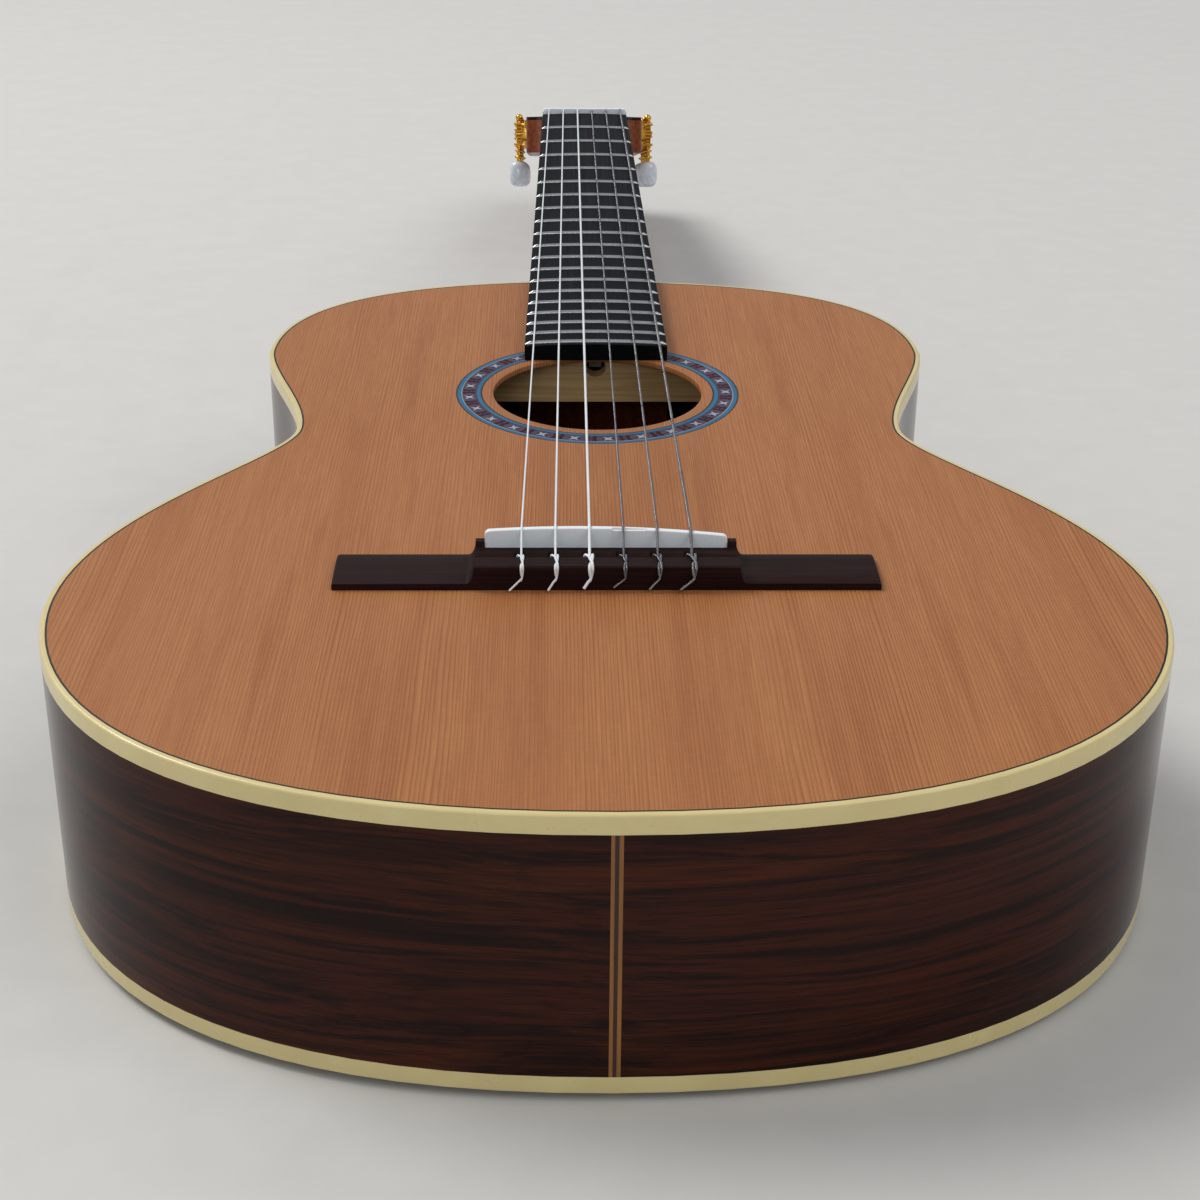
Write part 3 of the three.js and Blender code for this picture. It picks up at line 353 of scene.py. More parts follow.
def tube(path, radius, sides=12):
    """A round cord along a path, with ends that are slightly rounded."""
    last = len(path) - 1
    rings = []
    normal = None
    for i, point in enumerate(path):
        along = (path[min(i + 1, last)] - path[max(i - 1, 0)]).normalized()
        normal = along.orthogonal() if normal is None else normal - along * normal.dot(along)
        normal.normalize()
        side = along.cross(normal)
        rim = [normal * c + side * s for c, s in circle(0, 0, 1, sides)]
        if i == 0:
            rings.append([point - along * radius * 0.3 + v * radius * 0.7 for v in rim])
        rings.append([point + v * radius for v in rim])
        if i == last:
            rings.append([point + along * radius * 0.3 + v * radius * 0.7 for v in rim])
    return skin(rings)


def added(name, data):
    made = bpy.data.objects.new(name, data)
    bpy.context.scene.collection.objects.link(made)
    return made


def clean(mesh, distance):
    """Merges points that lie within a distance, and turns the faces outward."""
    bm = bmesh.new()
    bm.from_mesh(mesh)
    bmesh.ops.remove_doubles(bm, verts=bm.verts, dist=distance)
    bmesh.ops.recalc_face_normals(bm, faces=bm.faces)
    bm.to_mesh(mesh)
    bm.free()


def scratch(shape):
    mesh = bpy.data.meshes.new("scratch")
    mesh.from_pydata(shape[0], [], shape[1])
    clean(mesh, 1e-4)
    return added("scratch", mesh)


def carved(shape, tools):
    """A shape with the tools, which don't touch each other, cut from it."""
    target, tool = scratch(shape), scratch(joined(*tools))
    cut = target.modifiers.new("cut", "BOOLEAN")
    cut.operation = "DIFFERENCE"
    cut.solver = "EXACT"
    cut.object = tool
    evaluated = target.evaluated_get(bpy.context.evaluated_depsgraph_get())
    mesh = bpy.data.meshes.new_from_object(evaluated)
    points = [v.co.copy() for v in mesh.vertices]
    faces = [tuple(face.vertices) for face in mesh.polygons]
    for thing in (target, tool):
        bpy.data.objects.remove(thing)
    return points, faces


def to_frame(point):
    return Vector((point[0], point[1] + SADDLE_Y, point[2])) * MM


def in_head(point):
    """A point given across, along and out of the head, in the guitar's frame."""
    x, along, out = point
    c, s = cos(HEAD_TILT), sin(HEAD_TILT)
    return Vector((x, HEAD_Y + along * c + out * s, HEAD_Z - along * s + out * c))


def piece(name, shape, finish, nodes=(), body=GUITAR, bevel=0, sharp=40, uvs=None):
    """One visible piece: its shape in millimetres, its finish and the CAD nodes it stands for."""
    points, faces = shape
    mesh = bpy.data.meshes.new(name)
    mesh.from_pydata([to_frame(p) for p in points], [], faces)
    if uvs:
        layer = mesh.uv_layers.new(name="UVMap")
        for loop in mesh.loops:
            layer.data[loop.index].uv = uvs[loop.vertex_index]
    clean(mesh, 2e-6)
    mesh.shade_smooth()
    made = added(name, mesh)
    if bevel:
        edge = made.modifiers.new("edge", "BEVEL")
        edge.width = bevel * MM
        edge.segments = 2
        edge.limit_method = "ANGLE"
        edge.angle_limit = radians(30)
        edge.harden_normals = True
    else:
        mesh.set_sharp_from_angle(angle=radians(sharp))
    mesh.materials.append(MATERIALS[finish])
    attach(made, body)
    if nodes:
        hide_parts(*nodes)
    SLOTS.get(finish, finish)
    return made


# ---- materials

def linear(code):
    """A colour given as six hexadecimal digits, in linear light."""
    parts = [int(code[i : i + 2], 16) / 255 for i in (0, 2, 4)]
    return (*[c / 12.92 if c <= 0.04045 else ((c + 0.055) / 1.055) ** 2.4 for c in parts], 1)


class Finish:
    """A procedural material that is put together node by node."""

    def __init__(self, name, roughness, **settings):
        self.material = bpy.data.materials.new(name)
        self.material.use_nodes = True
        self.tree = self.material.node_tree
        self.shader = self.tree.nodes["Principled BSDF"]
        self.shader.inputs["Roughness"].default_value = roughness
        for socket, value in settings.items():
            self.shader.inputs[socket.replace("_", " ")].default_value = value

    def node(self, kind, inputs, **settings):
        made = self.tree.nodes.new("ShaderNode" + kind)
        for key, value in settings.items():
            setattr(made, key, value)
        for socket, value in inputs.items():
            if isinstance(value, bpy.types.NodeSocket):
                self.tree.links.new(value, made.inputs[socket])
            else:
                made.inputs[socket].default_value = value
        return made

    def vector(self, operation, *values):
        return self.node("VectorMath", dict(enumerate(values)), operation=operation).outputs[0]

    def place(self, scale=(1, 1, 1), mirrored=False, uv=False):
        """Coordinates in millimetres, stretched by a scale; mirrored ones match across x = 0."""
        coords = self.node("TexCoord", {}).outputs["UV" if uv else "Object"]
        if mirrored:
            coords = self.vector("ABSOLUTE", coords)
        return self.vector("MULTIPLY", coords, tuple(s / MM for s in scale))

    def noise(self, where, scale=1.0, detail=3.0, distortion=0.0, roughness=0.5):
        return self.node("TexNoise", {
            "Vector": where, "Scale": scale, "Detail": detail, "Distortion": distortion,
            "Roughness": roughness,
        }).outputs["Fac"]

    def grain(self, stretch, detail=3.0, mirrored=False, uv=False, **settings):
        """Noise in a stretched space, which gives fibres, clouds or specks."""
        return self.noise(self.place(stretch, mirrored, uv), detail=detail, **settings)

    def wave(self, where, pitch, distortion=0.0, detail=2.0, rough_scale=1.0, profile="SIN"):
        """Bands that repeat along the first coordinate at a pitch."""
        inputs = {"Vector": where, "Scale": pi / 10 / pitch, "Distortion": distortion,
                  "Detail": detail, "Detail Scale": rough_scale}
        return self.node("TexWave", inputs, wave_profile=profile).outputs["Fac"]

    def ramp(self, value, *stops):
        made = self.node("ValToRGB", {"Fac": value})
        elements = made.color_ramp.elements
        while len(elements) < len(stops):
            elements.new(1)
        for element, (position, color) in zip(elements, stops):
            element.position = position
            element.color = linear(color)
        return made.outputs["Color"]

    def grade(self, value, low, high, to_low=0.0, to_high=1.0):
        inputs = {"Value": value, "From Min": low, "From Max": high,
                  "To Min": to_low, "To Max": to_high}
        return self.node("MapRange", inputs).outputs["Result"]

    def sums(self, a, b):
        return self.node("Math", {0: a, 1: b}, operation="ADD").outputs[0]

    def mix(self, share, a, b, blend="MIX"):
        a = linear(a) if isinstance(a, str) else a
        b = linear(b) if isinstance(b, str) else b
        made = self.node("Mix", {0: share, 6: a, 7: b}, data_type="RGBA", blend_type=blend)
        return made.outputs[2]

    def tint(self, base, color, mask, low, high, most):
        """A colour laid over another, up to a share, as a mask goes from low to high."""
        return self.mix(self.grade(mask, low, high, 0.0, most), base, color)

    def done(self, color, roughness=None, height=None, depth=0.02):
        """Wires the colour, the roughness and a bump whose depth is in millimetres."""
        self.tree.links.new(color, self.shader.inputs["Base Color"])
        if roughness is not None:
            self.tree.links.new(roughness, self.shader.inputs["Roughness"])
        if height is not None:
            inputs = {"Height": height, "Strength": 1.0, "Distance": depth * MM}
            bump = self.node("Bump", inputs)
            self.tree.links.new(bump.outputs["Normal"], self.shader.inputs["Normal"])
        return self.material


def cedar():
    """Straight fine growth rings, matched across the middle seam, under a satin finish."""
    f = Finish("cedar", 0.42, Specular_IOR_Level=0.2, Coat_Weight=0.06, Coat_Roughness=0.3)
    spacing = f.grain((0.035, 0.0003, 0), mirrored=True)
    sway = f.grain((0.01, 0.006, 0), 1, mirrored=True)
    moves = f.sums(f.grade(spacing, 0, 1, -9.0, 9.0), f.grade(sway, 0, 1, -1.5, 1.5))
    shift = f.node("CombineXYZ", {"X": moves}).outputs[0]
    where = f.place(mirrored=True)
    bent = f.vector("ADD", where, shift)
    rings = f.wave(bent, 1.2, distortion=0.5, rough_scale=0.05, profile="SAW")
    broad = f.grain((0.06, 0.0035, 0.02), 5, mirrored=True, roughness=0.65)
    fine = f.grain((2.4, 0.05, 0.4), 4, mirrored=True, roughness=0.6)
    ripple = f.grain((0.25, 1.1, 0.3), roughness=0.7)
    ground = f.ramp(broad, (0.28, "a3683e"), (0.42, "ac7145"), (0.55, "b3794b"), (0.66, "a96d42"),
                    (0.8, "9a5f38"))
    lines = f.ramp(rings, (0.0, "ffffff"), (0.6, "f4ebe4"), (0.88, "c39c86"), (1.0, "a0735c"))
    faded = f.grade(f.grain((0.02, 0.004, 0.02)), 0.3, 0.7, 0.3, 0.7)
    ringed = f.mix(faded, ground, lines, "MULTIPLY")
    grainy = f.tint(ringed, "7a472c", fine, 0.3, 0.7, 0.35)
    silked = f.tint(grainy, "c8925f", ripple, 0.5, 0.8, 0.12)
    return f.done(silked, f.grade(fine, 0.3, 0.7, 0.36, 0.5), rings, 0.01)


def rosewood(name, uv=False, mirrored=False):
    """Dark wood with smoky streaks and open pores under gloss lacquer."""
    f = Finish(name, 0.16, Specular_IOR_Level=0.12, Coat_Weight=0.04, Coat_Roughness=0.05)
    kind = {"mirrored": mirrored, "uv": uv}
    warp = f.grain((0.004, 0.012, 0.01) if uv else (0.012, 0.004, 0.01), 2, **kind)
    where = f.place((0.0016, 0.055, 0.02) if uv else (0.055, 0.0018, 0.03), **kind)
    push = f.vector("ADD", where, f.grade(warp, 0, 1, 0, 1.6))
    figure = f.noise(push, 1.0, detail=6, roughness=0.62, distortion=0.2)
    streak = f.noise(push, 5.0, detail=5, roughness=0.7)
    pores = f.grain((0.05, 2.6, 1) if uv else (2.6, 0.05, 1), 2, **kind)
    dark = f.ramp(figure, (0.3, "0b0402"), (0.42, "1a0704"), (0.5, "3a150a"), (0.55, "170604"),
                  (0.63, "431b0b"), (0.7, "150503"), (0.8, "2c0f06"))
    lit = f.tint(dark, "55240f", streak, 0.5, 0.75, 0.4)
    pored = f.tint(lit, "0c0504", pores, 0.56, 0.66, 0.7)
    return f.done(pored, None, pores, 0.006)


def dark_wood(name, colors, roughness, stretch):
    """Close-grained dark wood, oiled: ebony or the bridge's wood."""
    f = Finish(name, roughness, Specular_IOR_Level=0.06)
    grain = f.grain(stretch, 5, roughness=0.65)
    cloud = f.grain((0.04, 0.04, 0.04))
    pores = f.grain(tuple(4 * s for s in stretch), 2)
    base = f.ramp(grain, (0.3, colors[0]), (0.55, colors[1]), (0.75, colors[2]))
    shaded = f.tint(base, colors[0], cloud, 0.35, 0.7, 0.45)
    pored = f.tint(shaded, "080606", pores, 0.58, 0.7, 0.6)
    rough = f.grade(grain, 0.3, 0.7, roughness - 0.07, roughness + 0.1)
    return f.done(pored, rough, f.sums(grain, pores), 0.02)


def pale_wood(name, colors, along):
    """Unfinished light wood for bars, blocks, linings and inlaid lines."""
    f = Finish(name, 0.7)
    grain = f.grain(along, 5, roughness=0.6)
    cloud = f.grain((0.03, 0.03, 0.03), 2)
    base = f.ramp(grain, (0.3, colors[0]), (0.6, colors[1]), (0.8, colors[2]))
    shaded = f.tint(base, colors[0], cloud, 0.3, 0.7, 0.3)
    return f.done(shaded, f.grade(grain, 0.3, 0.7, 0.6, 0.8), grain, 0.03)


def mahogany():
    """Reddish brown neck wood, with pores along the neck and a satin finish."""
    f = Finish("mahogany", 0.35, Specular_IOR_Level=0.2, Coat_Weight=0.1, Coat_Roughness=0.25)
    grain = f.grain((0.5, 0.012, 0.4), 5, roughness=0.6)
    ribbon = f.grain((0.06, 0.01, 0.06))
    pores = f.grain((3.2, 0.12, 3.2), 2)
    base = f.ramp(grain, (0.3, "55240f"), (0.5, "7a3a1a"), (0.75, "95502a"))
    shaded = f.tint(base, "6a2d14", ribbon, 0.35, 0.7, 0.4)
    pored = f.tint(shaded, "2a1008", pores, 0.58, 0.68, 0.7)
    return f.done(pored, None, pores, 0.01)


def plain(name, colors, roughness, grit, depth, **settings):
    """A smooth material with slow colour drift, fine mottling and handling marks."""
    f = Finish(name, roughness, **settings)
    cloud = f.grain((0.05, 0.05, 0.05), 4)
    mottle = f.grain((grit, grit, grit), 4, roughness=0.65)
    base = f.ramp(cloud, (0.3, colors[0]), (0.7, colors[1]))
    marked = f.tint(base, colors[2], mottle, 0.4, 0.8, 0.3)
    rough = f.grade(mottle, 0.3, 0.75, roughness * 0.85, roughness * 1.25)
    return f.done(marked, rough, mottle, depth)


def pearl():
    """Clouded pearloid with bluish and violet drift."""
    f = Finish("pearl", 0.14, Coat_Weight=0.5, Coat_Roughness=0.05)
    folds = f.grain((0.16, 0.16, 0.1), 4, distortion=2.2, roughness=0.55)
    glint = f.grain((0.5, 0.5, 0.35), distortion=1.2)
    base = f.ramp(folds, (0.3, "c2cbda"), (0.45, "cfd7e3"), (0.58, "dfe5ee"), (0.72, "c9cedd"))
    lit = f.tint(base, "f0f3f8", glint, 0.5, 0.75, 0.3)
    return f.done(lit, f.grade(folds, 0.3, 0.7, 0.1, 0.2), folds, 0.01)


def wound():
    """Silvered wire wound round a core: fine ribs across the string, with painted shade in the
    grooves between them.
    """
    f = Finish("wound_silver", 0.3, Metallic=1.0)
    ribs = f.wave(f.place(uv=True), 0.22)
    tarnish = f.grain((0.12, 0.12, 0.12), 4)
    base = f.ramp(tarnish, (0.3, "77777b"), (0.55, "9d9ea3"), (0.75, "8a8076"))
    # Painted shade: the colour darkens towards 2c2b2d in the grooves between the turns.
    groove_shaded = f.mix(f.grade(ribs, 0.0, 0.5, 0.75, 0.0), base, "2c2b2d")
    return f.done(groove_shaded, f.grade(tarnish, 0.3, 0.7, 0.26, 0.4), ribs, 0.05)


# Colours of the ground, its drift and its marks, then roughness, scale and depth of the mottling.
PLAIN = {
    "cream_binding": ("d9c990 d2c087 c9b67c", 0.3, 0.12, 0.002),
    "purfling": ("0e0b0a 151110 1d1816", 0.4, 0.6, 0.004),
    "bone": ("eef3f6 e6edf1 dbe3e8", 0.28, 0.9, 0.004),
    "nylon": ("eef0f2 e3e7ea d6dbe0", 0.22, 0.6, 0.004),
    "gold": ("d9a33c e0ad4b b98230", 0.2, 1.4, 0.006),
    "steel": ("a5a7aa 97999c 7f8184", 0.3, 1.2, 0.004),
    "fret_metal": ("c3c5c8 babcbf a9abae", 0.24, 0.3, 0.002),
    "blue_line": ("2d5f80 3a7090 23425f", 0.35, 1.2, 0.004),
    "white_line": ("7f8d98 8d9aa4 6a7783", 0.35, 1.2, 0.004),
    "tile_ground": ("483c4e 54475a 392e41", 0.4, 1.6, 0.004),
    "tile_red": ("30060f 3d0a15 1d040a", 0.4, 1.6, 0.004),
    "tile_grey": ("949aa6 a5a9b4 787c89", 0.4, 1.6, 0.004),
    "floor": ("cfcdc9 cccac6 c6c4c0", 0.8, 0.02, 0.001),
}
SETTINGS = {
    "cream_binding": {"Coat_Weight": 0.3, "Coat_Roughness": 0.15},
    "bone": {"Subsurface_Weight": 0.15, "Subsurface_Scale": 0.002},
    "nylon": {"Subsurface_Weight": 0.2, "Subsurface_Scale": 0.001},
}
METALS = ("gold", "steel", "fret_metal")
MOSAIC = ("blue_line", "white_line", "tile_ground", "tile_red", "tile_grey")
SETTINGS |= {metal: {"Metallic": 1.0} for metal in METALS}
SETTINGS |= {tile: {"Specular_IOR_Level": 0.12} for tile in MOSAIC}
# Colours from dark to light, then how the grain is stretched.
PALE_WOODS = {
    "spruce": ("b48a55 cfae7c dcc295", (0.02, 0.7, 0.7)),
    "lining_wood": ("b8905c d0ad7a dbbf92", (0.05, 0.05, 1.2)),
    "tail_tan": ("7a4c24 96632f a97a45", (0.8, 0.8, 0.03)),
    "tail_dark": ("2b1408 3c1d0d 4b2814", (0.8, 0.8, 0.03)),
}
MATERIALS = {
    "cedar": cedar(),
    "rosewood": rosewood("rosewood", uv=True),
    "rosewood_flat": rosewood("rosewood_flat", mirrored=True),
    "mahogany": mahogany(),
    "ebony": dark_wood("ebony", ("08080a", "101013", "1b1b1f"), 0.46, (0.9, 0.02, 0.9)),
    "bridge_wood": dark_wood("bridge_wood", ("190e0d", "2a1918", "3d2622"), 0.45,
                             (0.02, 0.9, 0.9)),
    "wound_silver": wound(),
    "pearl": pearl(),
}
for wood, (shades, stretch) in PALE_WOODS.items():
    MATERIALS[wood] = pale_wood(wood, shades.split(), stretch)
for finish_name, (shades, *numbers) in PLAIN.items():
    settings = SETTINGS.get(finish_name, {})
    MATERIALS[finish_name] = plain(finish_name, shades.split(), *numbers, **settings)
# The part's material slots, where they aren't called like the finish.
SLOTS = {
    "rosewood_flat": "rosewood",
    "lining_wood": "spruce",
    "purfling": "ebony",
    "fret_metal": "steel",
    "tail_tan": "strip_wood",
    "tail_dark": "strip_wood",
    **dict.fromkeys(MOSAIC, "mosaic"),
}

# CAD nodes inside the body keep their shapes and take new finishes.
INSIDE = {
    "soundhole_bar": "spruce",
    "soundboard_bracing": "spruce",
    "back_bracing": "spruce",
    "lining_top": "lining_wood",
    "lining_back": "lining_wood",
    # The neck block is mahogany, a real neck-block wood, chosen dark as painted shade for the unlit
    # inside under the fingerboard.
    "neck_block": "mahogany",
    "tail_block": "spruce",
    "truss_rod": "steel",
}
for node_name, finish_name in INSIDE.items():
    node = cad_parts[node_name]
    node.data.materials.clear()
    node.data.materials.append(MATERIALS[finish_name])
    SLOTS.get(finish_name, finish_name)


# ---- body

def inset_edge(rows, inset):
    return [(x - nx * inset, y - ny * inset) for x, y, nx, ny in rows]


def swept_round(section):
    """A section of inset and height, swept once round the body's edge."""
    return skin([[(x - nx * i, y - ny * i, z) for i, z in section] for x, y, nx, ny in WHOLE], True)


def body_rim():
    """Both bindings, rounded outside, and the dark line inside the upper one."""
    low, high, flush = BACK_RIM_Z, TOP_Z, 0.02
    corner = [(BINDING_ROUND * (1 - c), high - BINDING_ROUND * (1 - s))
              for c, s in arc(0, 0, 1, 0, 90, 6)]
    foot = high - BINDING_HEIGHT
    top = [(0, foot)] + corner + [(BINDING_WIDTH, high), (BINDING_WIDTH, foot)]
    bottom = [(i, low + high - z) for i, z in top]
    piece("binding_top_ring", swept_round(top), "cream_binding", ["binding_top"])
    piece("binding_back_ring", swept_round(bottom), "cream_binding", ["binding_back"])
    outer, inner = BINDING_WIDTH, BINDING_WIDTH + PURFLING_WIDTH
    foot, head = high - PURFLING_HEIGHT, high + flush
    section = [(outer, foot), (outer, head), (inner, head), (inner, foot)]
    piece("purfling_top", swept_round(section), "purfling")


def soundboard():
    """The plate with its hole and the rosette's channel."""
    outer, inner = ROSETTE_RINGS[0][0], ROSETTE_RINGS[-1][1]
    far, soft = outer + 2, 0.35
    edge = inset_edge(WHOLE, BINDING_WIDTH + PURFLING_WIDTH)
    points, faces = extruded(edge, [circle(0, HOLE_Y, far, ROUND_STEPS)], TOP_Z - PLATE, TOP_Z)
    # The walls of the round opening go, and the ring that holds the hole takes their place.
    opening = {i for i, p in enumerate(points) if abs(hypot(p[0], p[1] - HOLE_Y) - far) < 1e-3}
    faces = [f for f in faces if not (len(f) == 4 and opening.issuperset(f))]
    floor = TOP_Z - ROSETTE_DEPTH
    profile = [
        (far, TOP_Z), (outer, TOP_Z), (outer, floor), (inner, floor), (inner, TOP_Z),
        (HOLE_RADIUS + soft, TOP_Z), (HOLE_RADIUS + soft * 0.3, TOP_Z - soft * 0.3),
        (HOLE_RADIUS, TOP_Z - soft), (HOLE_RADIUS, TOP_Z - PLATE + soft),
        (HOLE_RADIUS + soft, TOP_Z - PLATE), (far, TOP_Z - PLATE),
    ]
    ring_points, ring_faces = ring_of(profile)
    sides = len(profile)
    outside = {(sides - 1, 0), (0, sides - 1)}
    ring_faces = [f for f in ring_faces if (f[0] % sides, f[1] % sides) not in outside]
    plate = joined((ring_points, ring_faces), (points, faces))
    piece("soundboard_plate", plate, "cedar", ["soundboard"], sharp=25)


TILE_OUTER, TILE_INNER = 57.2, 51.6
# From outside in: radii, finish, and how deep the ring lies.
ROSETTE_RINGS = [
    (59.8, 59.2, "purfling", 0),
    (59.2, 57.6, "blue_line", 0),
    (57.6, TILE_OUTER, "white_line", 0),
    (TILE_OUTER, TILE_INNER, "tile_ground", 0.03),
    (TILE_INNER, 51.2, "purfling", 0),
    (51.2, 49.5, "blue_line", 0),
    (49.5, 48.8, "purfling", 0),
]
# Tile outlines, along and across the band. A bar is given by its half towards +.
BAR_HALF = [(0.4, -2.6), (0.95, -2.25), (1.05, -1.4), (0.6, -0.5), (0.6, 0.5), (1.05, 1.4),
            (0.95, 2.25), (0.4, 2.6)]
BAR_OFFSET = 1.45
LINK = [(-0.95, -0.35), (0.95, -0.35), (0.95, 0.35), (-0.95, 0.35)]
STAR_REACH = (0.95, 2.75)
DOT = [(0.5, 0), (0, 0.7), (-0.5, 0), (0, -0.7)]
DOT_OFFSET = 1.9
TILE_DEPTH = 0.6


def tile(outline, turn):
    """A flat tile given by its points along and across the mosaic band, at a place round it."""
    middle = (TILE_OUTER + TILE_INNER) / 2
    loop = []
    for s, t in outline:
        a = turn + s / middle
        loop.append(((middle + t) * cos(a), HOLE_Y + (middle + t) * sin(a)))
    return extruded(loop, [], TOP_Z - TILE_DEPTH, TOP_Z)


def rosette():
    """Rings, with a band of tiles in which an H of red bars and a grey star take turns."""
    for order, (outer, inner, finish, sunk) in enumerate(ROSETTE_RINGS):
        low, high = TOP_Z - ROSETTE_DEPTH, TOP_Z - sunk
        ring = ring_of([(outer, low), (outer, high), (inner, high), (inner, low)])
        piece(f"rosette_ring_{order + 1}", ring, finish, ["rosette"], sharp=25)
    reds, greys = [], []
    pitch = 2 * pi / ROSETTE_UNITS
    bar = BAR_HALF + [(-s, t) for s, t in reversed(BAR_HALF)]
    star = [(STAR_REACH[i % 2] * c, STAR_REACH[i % 2] * s)
            for i, (c, s) in enumerate(circle(0, 0, 1, 8))]
    for k in range(ROSETTE_UNITS):
        turn = (k + 0.5) * pitch
        for side in (-1, 1):
            reds.append(tile([(s + side * BAR_OFFSET, t) for s, t in bar], turn))
        reds.append(tile(LINK, turn))
        greys.append(tile(star, turn + pitch / 2))
        for side in (-1, 1):
            reds.append(tile([(s + side * DOT_OFFSET, t) for s, t in DOT], turn + pitch / 2))
    piece("rosette_red_tiles", joined(*reds), "tile_red", sharp=25)
    piece("rosette_grey_tiles", joined(*greys), "tile_grey", sharp=25)


def ribs():
    """Two bent sides, whose grain follows the length round the edge."""
    low, high = BACK_RIM_Z + BINDING_HEIGHT, TOP_Z - BINDING_HEIGHT
    rise = 16
    heights = [low + (high - low) * k / rise for k in range(rise + 1)]
    for name, side in SIDES:
        rings, uvs, length = [], [], 0
        before = HALF[0]
        for order, (x, y, nx, ny) in enumerate(HALF):
            length += hypot(x - before[0], y - before[1])
            before = (x, y)
            clear = TAIL_STRIP_HALF if order == 0 else 0
            outside = [(side * max(x, clear), y, z) for z in heights]
            inside = [(side * max(x - nx * RIB, clear), y - ny * RIB, z) for z in reversed(heights)]
            rings.append(outside + inside)
            uvs += [(side * length * MM, z * MM) for z in heights + heights[::-1]]
        piece(f"side_{name}", skin(rings), "rosewood", [f"rib_{name}"], sharp=30, uvs=uvs)


def tail_strip():
    """Three lines of wood let in between the two sides at the tail, a hair proud of them."""
    low, high, proud = BACK_RIM_Z + BINDING_HEIGHT, TOP_Z - BINDING_HEIGHT, 0.03
    for order, kind in enumerate(("tan", "dark", "tan")):
        x0, x1 = TAIL_STRIP_EDGES[order : order + 2]
        strip = box(x0, x1, TAIL[1] - proud, TAIL[1] + RIB, low, high)
        piece(f"tail_line_{order + 1}", strip, f"tail_{kind}", ["tail_strip"], bevel=0.05)


def back():
    """Two book-matched halves, arched, with a light seam line between them."""
    shares = [1, 0.96, 0.9, 0.82, 0.72, 0.6, 0.45, 0.3, 0.15, 0]

    def arched(x, y, share, lift):
        long = 1 - (1 - share) * BACK_SHRINK
        return (x * share, BACK_MIDDLE_Y + (y - BACK_MIDDLE_Y) * long, BACK_RIM_Z * share**3 + lift)

    edge = inset_edge(HALF, BINDING_WIDTH)
    for name, side in SIDES:
        rows = []
        for x, y in edge:
            # A row starts at the seam's edge instead of the middle.
            start = SEAM_HALF + x * (1 - SEAM_HALF / LOWER_BOUT[0])
            narrow = 1 - SEAM_HALF / start
            row = [arched(x, y, s, 0) for s in shares]
            row += [arched(x, y, s, PLATE) for s in shares[::-1]]
            rows.append([(side * (px * narrow + SEAM_HALF), py, pz) for px, py, pz in row])
        piece(f"back_{name}", skin(rows), "rosewood_flat", ["back"], sharp=30)
    under = [arched(0, edge[0][1], s, 0)[1:] for s in shares]
    under += [arched(0, edge[-1][1], s, 0)[1:] for s in shares[::-1]]
    loop = under + [(y, z + PLATE) for y, z in reversed(under)]
    bounds = (-SEAM_HALF, -SEAM_LIGHT_HALF, SEAM_LIGHT_HALF, SEAM_HALF)
    for order, finish in enumerate(("tail_dark", "cream_binding", "tail_dark")):
        piece(f"back_seam_{order + 1}", across(loop, bounds[order : order + 2]), finish)


body_rim()
soundboard()
rosette()
ribs()
tail_strip()
back()


# ---- neck and head

def board_half(y):
    return NUT_HALF + (JOIN_HALF - NUT_HALF) * (SCALE_LENGTH - y) / (SCALE_LENGTH / 2)


def board_top(x):
    return TOP_Z + BOARD_THICKNESS - BOARD_RADIUS + sqrt(BOARD_RADIUS**2 - x * x)


def fingerboard():
    def section(y):
        half = board_half(y)
        steps = [half * (1 - 2 * i / 24) for i in range(25)]
        return [(-half, y, TOP_Z), (half, y, TOP_Z)] + [(x, y, board_top(x)) for x in steps]

    places = [BOARD_END_Y + (SCALE_LENGTH - BOARD_END_Y) * i / 12 for i in range(13)]
    board = skin([section(y) for y in places])
    piece("fingerboard_board", board, "ebony", ["fingerboard"], bevel=0.3)
    for n in range(1, FRET_COUNT + 1):
        y = SCALE_LENGTH * 2 ** (-n / 12)
        half = board_half(y) - 0.15
        rows = []
        for i in range(33):
            x = half * (2 * i / 32 - 1)
            height = FRET_HEIGHT * fullness(half - abs(x), FRET_END) + 0.05
            arch = [(FRET_WIDTH / 2 * c, height * s) for c, s in arc(0, 0, 1, 0, 180, 8)]
            low = [(-FRET_WIDTH / 2, -FRET_SUNK), (FRET_WIDTH / 2, -FRET_SUNK)]
            rows.append([(x, y + dy, board_top(x) + dz) for dy, dz in arch + low])
        piece(f"fret_{n:02d}", skin(rows), "fret_metal")


# y, depth under the fingerboard, and how round the belly is.
NECK_SECTIONS = [
    (330, 96, 0.36), (335, 92, 0.36), (341, 76, 0.38), (347, 58, 0.42), (354, 42, 0.48),
    (363, 29, 0.58), (374, 21, 0.68), (390, 17.2, 0.75), (500, 16.2, 0.75), (640, 15, 0.75),
    (654, 15.4, 0.7),
]
HEEL_TAPER = 0.62
HEEL_TAPER_POWER = 0.9


def neck_shaft():
    steps = 36
    rings = []
    for y, depth, belly in smooth_rows(NECK_SECTIONS, 5):
        half = board_half(min(y, SCALE_LENGTH))
        ring = []
        for i in range(steps + 1):
            # Closer steps near the edges, where a round belly drops fastest.
            a = pi / 2 * (1 - cos(pi * i / steps))
            drop = 0 if i in (0, steps) else depth * sin(a) ** belly
            drawn_in = HEEL_TAPER * (drop / NECK_SECTIONS[0][1]) ** HEEL_TAPER_POWER
            ring.append((half * cos(a) * (1 - drawn_in), y, TOP_Z - drop))
        rings.append(ring)
    piece("neck_shaft", skin(rings), "mahogany", ["neck"], sharp=50)


